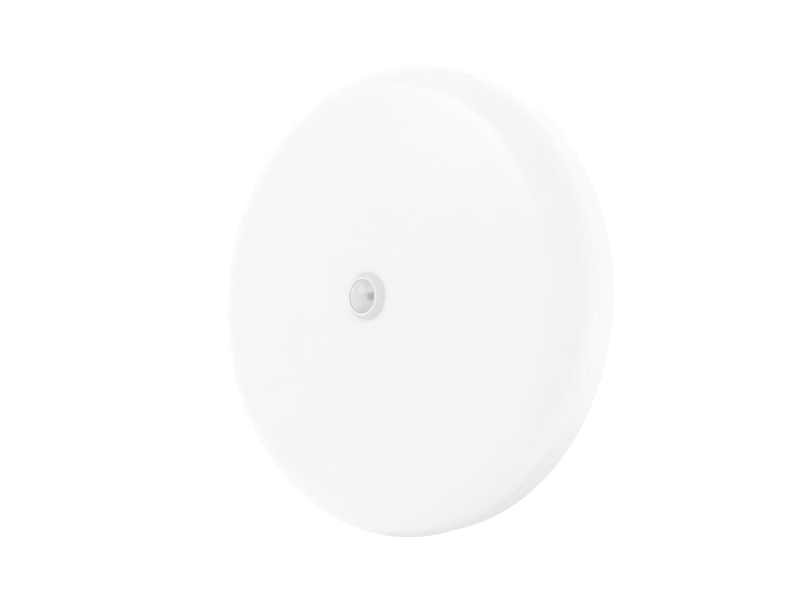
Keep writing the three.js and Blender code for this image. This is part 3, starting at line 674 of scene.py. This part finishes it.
def pan_posts():
    """Each screw post of the pan: its middle, radius, foot, front, and its hole's radius and foot."""
    board_back = -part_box("driver_board")[1].y
    board_z = middle("driver_board").z
    across, up = 26 * MM, 15 * MM  # the driver board's posts from its middle
    pilot = 1.7 * MM
    posts = []
    for degrees in LED_SCREW_ANGLES:
        posts.append((spot(LED_BAND, degrees), 3.6 * MM, FLOOR, 11.9 * MM, pilot, FLOOR - MM))
    for degrees in CLIP_ANGLES:
        posts.append((spot(CLIP_BAND, degrees), 4 * MM, REST_FLOOR, 6.2 * MM, pilot, REST_FLOOR - MM))
    for x, z in CORNERS:
        place = Vector((x * across, 0, board_z + z * up))
        posts.append((place, 2.8 * MM, FLOOR, board_back - 0.3 * MM, 1.3 * MM, FLOOR - MM))
    for node in ("cover_screw_left", "cover_screw_right"):
        posts.append((middle(node), 3.6 * MM, FLOOR, 24.2 * MM, pilot, FLOOR + 4 * MM))
    return posts


def pan_shell():
    """The dish with its screw posts, the ribs and hoops behind its floor, and all its holes."""
    pan = pan_dish()
    root, back, chamfer = 0.5 * MM, FLOOR - WALL, 0.3 * MM
    bar_boss, bar_hole, cable_hole = 6 * MM, 2.3 * MM, 5.5 * MM
    rib_half, rib_reach = 0.8 * MM, 4 * MM
    bosses, holes, hoops = Builder(), Builder(), Builder()
    for place, radius, foot, front, bore, bore_foot in pan_posts():
        outline = [(0, foot - root), (radius + chamfer, foot - root), (radius, front - chamfer)]
        outline += [(radius - chamfer, front), (0, front)]
        bosses.lathe(outline, ROUND_SMALL, WHITE, over(place))
        holes.plug(bore, bore_foot, front + MM, WHITE, over(place))
    for side in (-1, 1):
        bosses.plug(bar_boss, 2.3 * MM, back + root, WHITE, at(side * BAR_SCREW))
        holes.plug(bar_hole, 0, FLOOR + MM, WHITE, at(side * BAR_SCREW))
        rib = side * (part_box("terminal_block")[1].x + 1.2 * MM)
        z = middle("terminal_block").z
        bosses.slab((rib - rib_half, -FLOOR - rib_reach, z - rib_reach),
                    (rib + rib_half, -FLOOR + root, z + rib_reach), 0.2 * MM, WHITE)
    for i in range(12):
        turn = Matrix.Rotation(TURN * (i + 0.5) / 12, 4, "Y")
        bosses.slab((24 * MM, -back - root, -0.6 * MM), (80 * MM, -back + 1.6 * MM, 0.6 * MM),
                    0.2 * MM, WHITE, turn)
    holes.plug(cable_hole, 0, FLOOR + MM, WHITE, over(GROMMET), ROUND_SMALL * 2)
    for radius in (23 * MM, 55 * MM):
        outer, tip = radius + 1.2 * MM, back - 1.5 * MM
        hoops.lathe([(radius, back + root), (radius, tip), (outer, tip), (outer, back + root)],
                    ROUND_MEDIUM, WHITE)
    carve(pan, bosses, "UNION")
    carve(pan, hoops, "UNION")
    stands_for(carve(pan, holes), "base_pan")


def gasket_ring():
    low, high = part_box("wall_gasket")
    inner, thick = high.x - 12 * MM, -low.y
    outline = [(inner, 0), (high.x, 0), (high.x, thick), (inner, thick)]
    round_piece("gasket_ring", "wall_gasket", outline, 0.35 * MM, FOAM, ROUND_LARGE)


def grommet_ring():
    low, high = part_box("cable_grommet")
    bore, flange, neck = 3.8 * MM, (high.x - low.x) / 2, 5.2 * MM
    back, front = -high.y, -low.y
    outline = [
        (bore, back),
        (flange - 0.8 * MM, back),
        (flange, back + 1.4 * MM),
        (neck, back + 1.4 * MM),
        (neck, front - 1.7 * MM),
        (flange, front - 1.7 * MM),
        (flange - MM, front),
        (bore, front),
    ]
    place = over(GROMMET)
    round_piece("grommet_ring", "cable_grommet", outline, 0.35 * MM, RUBBER, place=place)


# ------------------------ fasteners
def screw(node, head_share):
    """A pan-head screw with a cross recess and a threaded shank, in the box of its CAD node."""
    low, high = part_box(node)
    place = over(middle(node))
    head, front, back = (high.z - low.z) / 2, -low.y, -high.y
    head_height = head * head_share
    seat, shank = front - head_height, head * 0.44
    root, pitch = shank * 0.86, max(shank * 0.42, 0.35 * MM)
    thread = []
    for i in range(int((seat - back - shank) / pitch)):
        start = back + shank * 0.6 + i * pitch
        thread += [(root, start), (root, start + pitch * 0.25), (shank, start + pitch * 0.6)]
    dome = arc(head * 0.62, seat + head_height * 0.45, head * 0.38, 0, 78, 6)
    section = [(0, back), (shank * 0.5, back)] + thread + [(root, seat), (head * 0.96, seat)]
    section += [(head, seat + head_height * 0.12)] + [(r, min(d, front)) for r, d in dome] + [(0, front)]
    body, recess = Builder(), Builder()
    body.lathe(section, ROUND_SMALL, SCREW_STEEL, place)
    slot = cross(head * 0.55, head * 0.13, 20)
    recess.prism(slot, front - head_height * 0.62, front + MM, SCREW_STEEL, place)
    piece = body.piece(node.replace("screw", "fastener"), 38)
    stands_for(carve(piece, recess, sharp=38), node)


def screws():
    for side in ("left", "right"):
        screw(f"bar_screw_{side}", 0.62)
        screw(f"board_screw_{side}", 0.62)
        screw(f"cover_screw_{side}", 0.66)
    for end in ("top", "bottom"):
        screw(f"sensor_screw_{end}", 0.66)
    for i in range(1, 5):
        screw(f"led_screw_{i}", 0.64)
    for i in range(1, 4):
        screw(f"clip_screw_{i}", 0.58)


# ------------------------ light source
def led_plate():
    low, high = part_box("led_board")
    inner, outer = 52 * MM, high.x
    back, front = -high.y, -low.y
    plate, holes = Builder(), Builder()
    outline = [(inner, back), (outer, back), (outer, front), (inner, front)]
    plate.lathe(rounded(outline, 0.15 * MM, 2), ROUND_LARGE, MASK_WHITE)
    for degrees in LED_SCREW_ANGLES:
        place = spot(LED_BAND, degrees)
        holes.plug(1.8 * MM, back - MM, front + MM, MASK_WHITE, over(place))
    for side in (-1, 1):
        holes.plug(5.2 * MM, back - MM, front + MM, MASK_WHITE, at(side * BAR_SCREW), 48)
    stands_for(carve(plate.piece("led_plate"), holes), "led_board")


def led_ring(node, count):
    """One ring of diodes on its track: white packages with solder ends and a pool of phosphor."""
    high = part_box(node)[1]
    half_x, half_z, base = 1.4 * MM, 1.75 * MM, -high.y
    radius, top, copper = high.x - half_x, base + 0.75 * MM, 0.1 * MM
    inner, outer = radius - 0.6 * MM, radius + 0.6 * MM
    track = [(inner, base), (outer, base), (outer, base + copper), (inner, base + copper)]
    pool = [
        (0, top - copper),
        (1.08 * MM, top - copper),
        (1.02 * MM, top + 0.03 * MM),
        (0, top + 0.055 * MM),
    ]
    ring = Builder()
    ring.lathe(track, count * 6, SOLDER)
    for i in range(count):
        turn = Matrix.Rotation(TURN * i / count, 4, "Y") @ Matrix.Translation((radius, 0, 0))
        end = half_z - 0.25 * MM
        ring.slab((-half_x, -top, -end), (half_x, -base - copper, end), 0.12 * MM, PACKAGE, turn)
        for side in (-1, 1):
            foot = side * half_z
            ring.slab((-half_x * 0.8, -base - 0.35 * MM, foot - 0.35 * MM),
                      (half_x * 0.8, -base - 0.06 * MM, foot + 0.35 * MM), 0.06 * MM, SOLDER, turn)
        ring.lathe(pool, 20, PHOSPHOR, turn)
    stands_for(ring.piece(node.replace("row", "ring")), node)


def surface_parts(name, node, places):
    """Small chip resistors and capacitors on a board's front: a body between two solder ends."""
    front = -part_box(node)[0].y
    length, width, height, cap = 1.6 * MM, 0.9 * MM, 0.55 * MM, 0.35 * MM
    parts = Builder()
    end, half = length / 2, width / 2
    for number, (place, degrees) in enumerate(places):
        turn = over(place) @ Matrix.Rotation(math.radians(degrees), 4, "Y")
        body = BLACK if number % 3 else CELL
        parts.slab((cap - end, -front - height, -half), (end - cap, -front, half), 0.05 * MM, body, turn)
        for side in (-1, 1):
            inner, outer = sorted((side * end, side * (end - cap)))
            parts.slab((inner, -front - height - 0.03 * MM, -half), (outer, -front, half),
                       0.1 * MM, SOLDER, turn)
    piece = parts.piece(name)
    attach(piece, NODES[node]["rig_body"])


def led_board_chips():
    """A chip part every 15 degrees between the rings, from 7.5 on, where no screw or access hole is."""
    places = []
    for i in range(24):
        degrees = 7.5 + 15 * i
        places.append((spot(LED_BAND + 1.5 * MM, degrees), 90 - degrees))
    surface_parts("led_board_chips", "led_board", places)


def sensor_board_chips():
    """The same few chip parts on each side of the sensor, at (x, z) in millimetres and a turn."""
    half = [(7, 5.7, 0), (7, 7.5, 0), (4.9, 11.2, 90), (7, -5.7, 0), (7.2, -8.4, 90), (4.4, -12.6, 0)]
    places = [(Vector((side * x * MM, 0, z * MM)), turn) for side in (-1, 1) for x, z, turn in half]
    surface_parts("sensor_board_chips", "sensor_board", places)


def lead_solder():
    """The solder that holds each lead of the LED board."""
    front = -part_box("led_board")[0].y
    mound = [(0, 0), (1.7, 0), (1.3, 0.12), (0.9, 0.4), (0, 0.45)]
    joints = Builder()
    for node in ("led_lead_red", "led_lead_black"):
        low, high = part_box(node)
        place = at(high.x - 0.8 * MM, low.z + 0.8 * MM, front)
        joints.lathe([(radius * MM, height * MM) for radius, height in mound], 20, SOLDER, place)
    piece = joints.piece("lead_solder")
    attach(piece, NODES["led_board"]["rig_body"])


def sensor_plate():
    """The sensor's round board, with its two screw holes."""
    low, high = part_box("sensor_board")
    back, front = -high.y, -low.y
    plate, holes = Builder(), Builder()
    outline = [(0, back), (high.x, back), (high.x, front), (0, front)]
    plate.lathe(rounded(outline, 0.12 * MM, 2, closed=False), ROUND_MEDIUM, MASK_WHITE)
    for end in ("top", "bottom"):
        place = middle(f"sensor_screw_{end}")
        holes.plug(1.2 * MM, back - MM, front + MM, MASK_WHITE, over(place))
    stands_for(carve(plate.piece("sensor_plate"), holes), "sensor_board")


def pyro_shell():
    """The sensor's metal can: a flange with its tab, a rolled top edge, and the window's opening."""
    low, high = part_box("pyro_can")
    base, top, flange = -high.y, -low.y, (high.x - low.x) / 2
    body = flange - 0.5 * MM
    place = over(middle("pyro_can"))
    outline = [
        (0, base),
        (flange, base),
        (flange, base + 0.5 * MM),
        (body, base + 0.75 * MM),
        (body, top),
        (0, top),
    ]
    shell, tab, opening = Builder(), Builder(), Builder()
    shell.lathe(rounded(outline, 0.3 * MM, 5, closed=False), ROUND_MEDIUM, CAN, place)
    turn = place @ Matrix.Rotation(math.radians(45), 4, "Y")
    tab_half, across, up = 0.45 * MM, 2.1 * MM, 1.6 * MM
    tab.slab((flange - MM, -base - 0.42 * MM, -tab_half),
             (flange + 0.7 * MM, -base - 0.04 * MM, tab_half), 0.08 * MM, CAN, turn)
    opening.slab((-across, -top - MM, -up), (across, -top + 0.7 * MM, up), 0, CAN, place)
    piece = carve(shell.piece("pyro_shell"), tab, "UNION")
    stands_for(carve(piece, opening), "pyro_can")


# ------------------------ driver
def cover_tub():
    """The driver's cover, with the turret that carries the sensor board and a slot for its cable."""
    low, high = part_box("driver_cover")
    foot, radius, wall, top = -high.y, high.x, 1.5 * MM, 26 * MM
    screw_z = middle("sensor_screw_top").z
    shoulder = arc(radius - 4.9 * MM, top - 2.5 * MM, 2.5 * MM, 12, 90, 10)
    outer = [(radius, foot), (radius - 2.4 * MM, top - 2.5 * MM)] + shoulder + [(0, top)]
    inner = [
        (0, top - wall),
        (radius - 5 * MM, top - wall),
        (radius - 4 * MM, top - wall - MM),
        (radius - wall, foot),
    ]
    root = top - 0.5 * MM
    post, pilot, clearance = 2.4 * MM, 1.1 * MM, 1.8 * MM
    rim = [(17.6 * MM, root), (19.4 * MM, root), (19 * MM, -low.y), (17.8 * MM, -low.y)]
    tub, turret, holes = Builder(), Builder(), Builder()
    tub.lathe(inner + outer, ROUND_MEDIUM * 2, WHITE)
    turret.lathe(rounded(rim, 0.25 * MM), ROUND_MEDIUM, WHITE)
    for side in (-1, 1):
        turret.plug(post, root, top + MM, WHITE, at(0, side * screw_z))
        holes.plug(pilot, top - 3 * MM, top + 4 * MM, WHITE, at(0, side * screw_z))
    for node in ("cover_screw_left", "cover_screw_right"):
        holes.plug(clearance, top - 3 * MM, top + MM, WHITE, over(middle(node)))
    # one slot for the sensor's cable, and one in the wall for the LED board's leads
    holes.slab((4.5 * MM, -top - 0.4 * MM, -9.25 * MM), (13.5 * MM, -top + 3 * MM, -4.75 * MM), 0, WHITE)
    holes.slab((radius - 8 * MM, -12.4 * MM, 2.5 * MM), (radius + 4 * MM, -8.2 * MM, 9.5 * MM), 0, WHITE)
    piece = carve(tub.piece("cover_tub"), turret, "UNION")
    stands_for(carve(piece, holes), "driver_cover")


def transformer_core():
    """A wound coil in yellow tape on a black bobbin, with a ferrite core round it."""
    low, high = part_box("transformer")
    x, _, z = (low + high) / 2
    core, foot = 2.5 * MM, high.x - x - 0.5 * MM
    flange_away, flange_half = 6.4 * MM, 1.2 * MM
    leg_inside, leg_outside = 4.9 * MM, 7 * MM
    coil = Builder()
    for side in (-1, 1):
        flange = z + side * flange_away
        leg = sorted((x + side * leg_inside, x + side * leg_outside))
        coil.slab((x - foot, high.y - 1.5 * MM, flange - flange_half),
                  (x + foot, high.y, flange + flange_half), 0.15 * MM, BLACK)
        coil.slab((leg[0], low.y, z - core), (leg[1], high.y - 0.5 * MM, z + core), 0.2 * MM, FERRITE)
    coil.slab((x - 4.75 * MM, low.y + 0.8 * MM, z - 6.5 * MM),
              (x + 4.75 * MM, high.y - 1.4 * MM, z + 6.5 * MM), 1.1 * MM, TAPE, segments=4)
    coil.slab((x - 6 * MM, low.y, z - core), (x + 6 * MM, low.y + 1.6 * MM, z + core), 0.2 * MM, FERRITE)
    stands_for(coil.piece("transformer_coil"), "transformer")


def lying_capacitor(node, name):
    """An electrolytic capacitor on its side, in a sleeve that leaves its vented end bare."""
    low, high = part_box(node)
    mid = (low + high) / 2
    radius, length = (high.y - low.y) / 2, high.x - low.x
    place = Matrix.Translation((high.x, mid.y, mid.z)) @ Matrix.Rotation(math.pi / 2, 4, "Z")
    lip, groove = radius - 0.9 * MM, radius - 0.4 * MM
    sleeve = [
        (0, 0.35 * MM),
        (lip - 0.2 * MM, 0.35 * MM),
        (lip, 0.05 * MM),
        (groove, 0.05 * MM),
        (radius, 0.4 * MM),
        (radius, 2 * MM),
        (groove, 2.5 * MM),
        (groove, 2.9 * MM),
        (radius, 3.3 * MM),
        (radius, length - 0.4 * MM),
        (groove, length),
        (lip + 0.1 * MM, length),
        (lip + 0.1 * MM, length - 0.2 * MM),
        (0, length - 0.2 * MM),
    ]
    under, over = length - 0.4 * MM, length - 0.1 * MM
    end = [(0, under), (lip, under), (lip, over), (0, over)]
    can = Builder()
    for outline, material in ((sleeve, SLEEVE), (end, SOLDER)):
        can.lathe([(r, -d) for r, d in outline], 48, material, place)
    stands_for(can.piece(name), node)


def retaining_clips():
    """Springs bent from strip, each with its foot on a boss and its nose by the diffuser's tongue."""
    thickness, width = 0.5 * MM, 9 * MM
    line = rounded(
        [(97 * MM, 6.7 * MM), (105.3 * MM, 6.7 * MM), (106.6 * MM, 8 * MM), (107.2 * MM, 10.6 * MM),
         (109.9 * MM, 13 * MM), (107.4 * MM, 15.8 * MM)],
        0.9 * MM, 5, closed=False)
    points = [Vector(p) for p in line]
    sides = ([], [])
    for i, point in enumerate(points):
        along = (points[min(i + 1, len(points) - 1)] - points[max(i - 1, 0)]).normalized()
        normal = Vector((-along.y, along.x)) * thickness / 2
        sides[0].append(point + normal)
        sides[1].append(point - normal)
    outline = sides[0] + sides[1][::-1]
    count = len(outline)
    vertices = [(p.x, -p.y, z) for z in (-width / 2, width / 2) for p in outline]
    faces = [[k, k + 1, count - 2 - k, count - 1 - k] for k in range(len(points) - 1)]
    faces += [[count + j for j in reversed(face)] for face in faces]
    faces += [[k, (k + 1) % count, count + (k + 1) % count, count + k] for k in range(count)]
    for i, degrees in enumerate(CLIP_ANGLES, 1):
        turn = Matrix.Rotation(math.radians(-degrees), 4, "Y")
        strip, hole = Builder(), Builder()
        strip.faces(vertices, faces, SPRING, turn)
        hole.plug(1.7 * MM, 5 * MM, 9 * MM, SPRING, turn @ at(CLIP_BAND))
        piece = strip.piece(f"clip_spring_{i}", 40)
        stands_for(carve(piece, hole, sharp=40), f"retaining_clip_{i}")


# ------------------------ wiring
def led_route(start, end):
    """From the driver board, through the cover's wall and up over the LED board's inner edge."""
    return [
        (25.5, 13.4, start), (26, 15.2, start), (33, 15.4, (start + end) / 2), (40, 11.6, end),
        (45, 10.4, end), (48.4, 11.6, end), (50, 14.6, end), (52.2, 16.2, end), (54.4, 15.6, end),
        (54.8, 14.3, end),
    ]


LIVE_ROUTE = [
    (-5.5, 12.5, -16.5), (-5.5, 12.5, -13.2), (-7, 14.6, -9.5),
    (-16, 17, -4), (-23.6, 16.2, 0.4), (-24.8, 13.8, 1.8),
]
NEUTRAL_ROUTE = [
    (5.5, 12.5, -16.5), (5.5, 12.5, -13.2), (3.5, 15, -9.5),
    (-6, 17, -4.5), (-12, 16.2, -0.6), (-13.2, 13.8, 1.2),
]
SENSOR_ROUTE = [(10, 22.4, -2.2), (9.9, 23, -3.6), (9.5, 23.7, -5.6), (9.1, 25.2, -7), (9, 26.9, -7)]


def wire(node, route, radius, material, cores=(0,)):
    """Insulated wire along (x, depth, z) points in millimetres, one or several side by side."""
    curve = bpy.data.curves.new(node + "_path", "CURVE")
    curve.dimensions = "3D"
    curve.bevel_depth = radius
    curve.bevel_resolution = 4
    curve.resolution_u = 8
    curve.use_fill_caps = True
    curve.materials.append(material)
    for core in cores:
        spline = curve.splines.new("BEZIER")
        spline.bezier_points.add(len(route) - 1)
        for point, (x, depth, z) in zip(spline.bezier_points, route):
            point.co = (x * MM + core, -depth * MM, z * MM)
            point.handle_left_type = point.handle_right_type = "AUTO"
    stands_for(new_object(node + "_core", curve), node)


def wires():
    wire("led_lead_red", led_route(9.5, 7.6), 0.8 * MM, RED)
    wire("led_lead_black", led_route(5, 4.6), 0.8 * MM, DARK)
    wire("live_link", LIVE_ROUTE, 0.9 * MM, BROWN)
    wire("neutral_link", NEUTRAL_ROUTE, 0.9 * MM, SKY)
    wire("sensor_cable", SENSOR_ROUTE, 0.6 * MM, PALE, (-1.15 * MM, 0, 1.15 * MM))


# ------------------------ CAD pieces kept, with softened edges
def smoothing():
    """A geometry-nodes group that shades a piece smooth except across its hard edges."""
    tree = bpy.data.node_groups.new("smooth_by_angle", "GeometryNodeTree")
    for way in ("INPUT", "OUTPUT"):
        tree.interface.new_socket("Geometry", in_out=way, socket_type="NodeSocketGeometry")
    source = tree.nodes.new("NodeGroupInput")
    result = tree.nodes.new("NodeGroupOutput")
    angle = tree.nodes.new("GeometryNodeInputMeshEdgeAngle")
    compare = tree.nodes.new("FunctionNodeCompare")
    compare.operation = "LESS_THAN"
    compare.inputs["B"].default_value = math.radians(32)
    faces = tree.nodes.new("GeometryNodeSetShadeSmooth")
    edges = tree.nodes.new("GeometryNodeSetShadeSmooth")
    edges.domain = "EDGE"
    tree.links.new(angle.outputs["Unsigned Angle"], compare.inputs["A"])
    tree.links.new(compare.outputs["Result"], edges.inputs["Shade Smooth"])
    for one, two in ((source, faces), (faces, edges), (edges, result)):
        tree.links.new(one.outputs["Geometry"], two.inputs["Geometry"])
    return tree


SMOOTH = smoothing()


def keep(node, material, bevel):
    """Gives a CAD node its material, welded corners and rounded edges."""
    piece = NODES[node]
    piece.data.materials.clear()
    piece.data.materials.append(material)
    weld = piece.modifiers.new("weld", "WELD")
    weld.merge_threshold = 0.001 * MM
    rounding = piece.modifiers.new("bevel", "BEVEL")
    rounding.width = bevel
    rounding.segments = 2
    rounding.limit_method = "ANGLE"
    rounding.angle_limit = math.radians(40)
    shade = piece.modifiers.new("shade", "NODES")
    shade.node_group = SMOOTH


# what each group of kept CAD nodes is made of, and the width of their rounded edges in millimetres
KEPT = (
    (ZINC, 0.25, ("mounting_bar",)),
    (BOARD, 0.1, ("driver_board",)),
    (FILM, 0.4, ("film_capacitor",)),
    (BLACK, 0.12, ("bridge_rectifier",)),
    (BLACK, 0.08, ("driver_chip", "sensor_chip")),
    (RESISTOR, 0.15, ("fuse_resistor",)),
    (IVORY, 0.12, ("sensor_socket", "sensor_plug")),
    (IVORY, 0.2, ("terminal_block",)),
    (ORANGE, 0.15, ("live_release_button", "neutral_release_button")),
    (INFRARED, 0.03, ("pyro_window",)),
    (CELL, 0.08, ("light_cell",)),
    (IVORY, 0.1, ("time_trimmer", "lux_trimmer")),
    (BLUE, 0.1, ("time_knob", "lux_knob")),
)


def kept_nodes():
    for material, bevel, nodes in KEPT:
        for node in nodes:
            keep(node, material, bevel * MM)


# ------------------------ stage, light and camera
CAMERA_TURN = 40.15  # degrees from straight ahead towards +X
CAMERA_RISE = -1.83
CAMERA_ROLL = 2.11
CAMERA_AWAY = 0.5624
CAMERA_LENS = 50.6  # millimetres, for a picture 36 mm wide
CAMERA_SHIFT = (-0.0184, 0.0003)
FLOOR_DROP = 1.2  # from the lamp's centre down to the floor
ROOM_LIGHT = 1.12
SHADE_TOWARDS = (-0.17, 0.66, -0.74)  # the room's one darker side, low down behind the lamp
SHADE_EDGES = (0.78, 0.93)  # how nearly that way a direction points where the shade starts and is full
SHADE = 0.64  # the room's light at its darkest
KEY_WATTS = 1.55
RIM_WATTS = 0.6


def outwards(turn, rise):
    """The direction from the lamp at a turn towards +X and a rise, in degrees from straight ahead."""
    turn, rise = math.radians(turn), math.radians(rise)
    return Vector((math.sin(turn) * math.cos(rise), -math.cos(turn) * math.cos(rise), math.sin(rise)))


def face_lamp(made, direction, away):
    """Puts a camera or a light some way off in a direction, facing the lamp."""
    made.location = direction * away
    made.rotation_mode = "QUATERNION"
    made.rotation_quaternion = (-direction).to_track_quat("-Z", "Y")


def camera():
    data = bpy.data.cameras.new("camera")
    data.lens = CAMERA_LENS
    data.sensor_width = 36
    data.shift_x, data.shift_y = CAMERA_SHIFT
    data.clip_start = 0.01
    made = new_object("camera", data)
    face_lamp(made, outwards(CAMERA_TURN, CAMERA_RISE), CAMERA_AWAY)
    roll = Matrix.Rotation(math.radians(CAMERA_ROLL), 4, "Z").to_quaternion()
    made.rotation_quaternion = made.rotation_quaternion @ roll
    bpy.context.scene.camera = made


def floor():
    """A pale ground far below, which the lamp neither mirrors nor gets light or shade from."""
    half, thickness = 3, 0.05
    slab = Builder()
    slab.slab((-half, -half, -FLOOR_DROP - thickness), (half, half, -FLOOR_DROP), 0, FLOOR_PAINT)
    made = slab.piece("floor")
    made.visible_diffuse = False
    made.visible_glossy = False
    made.visible_shadow = False


def softbox(name, turn, rise, away, size, watts):
    """A square area light that faces the lamp from a turn and a rise."""
    data = bpy.data.lights.new(name, "AREA")
    data.size = size
    data.energy = watts
    face_lamp(new_object(name, data), outwards(turn, rise), away)


def room():
    """An evenly lit white room with one darker side."""
    world = bpy.data.worlds.new("room")
    bpy.context.scene.world = world
    world.use_nodes = True
    tree = world.node_tree
    direction = tree.nodes.new("ShaderNodeTexCoord")
    closeness = tree.nodes.new("ShaderNodeVectorMath")
    closeness.operation = "DOT_PRODUCT"
    closeness.inputs[1].default_value = Vector(SHADE_TOWARDS).normalized()
    shade = tree.nodes.new("ShaderNodeMapRange")
    shade.interpolation_type = "SMOOTHSTEP"
    set_range(shade, *SHADE_EDGES, ROOM_LIGHT, SHADE)
    background = tree.nodes["Background"]
    background.inputs["Color"].default_value = (1, 1, 1, 1)
    tree.links.new(direction.outputs["Generated"], closeness.inputs[0])
    tree.links.new(closeness.outputs["Value"], shade.inputs["Value"])
    tree.links.new(shade.outputs["Result"], background.inputs["Strength"])


def studio():
    room()
    softbox("key_light", turn=-27, rise=25, away=1.6, size=0.68, watts=KEY_WATTS)
    softbox("rim_light", turn=130, rise=-5, away=1.6, size=1.1, watts=RIM_WATTS)
    bpy.context.scene.view_settings.view_transform = "Standard"


camera()
floor()
studio()
diffuser_shell()
collar_ring()
fresnel_dome()
clamp_ring()
pan_shell()
gasket_ring()
grommet_ring()
screws()
led_plate()
led_ring("led_row_inner", 16)
led_ring("led_row_outer", 20)
led_board_chips()
sensor_board_chips()
lead_solder()
sensor_plate()
pyro_shell()
cover_tub()
transformer_core()
lying_capacitor("bulk_capacitor", "bulk_can")
lying_capacitor("output_capacitor", "output_can")
retaining_clips()
wires()
kept_nodes()
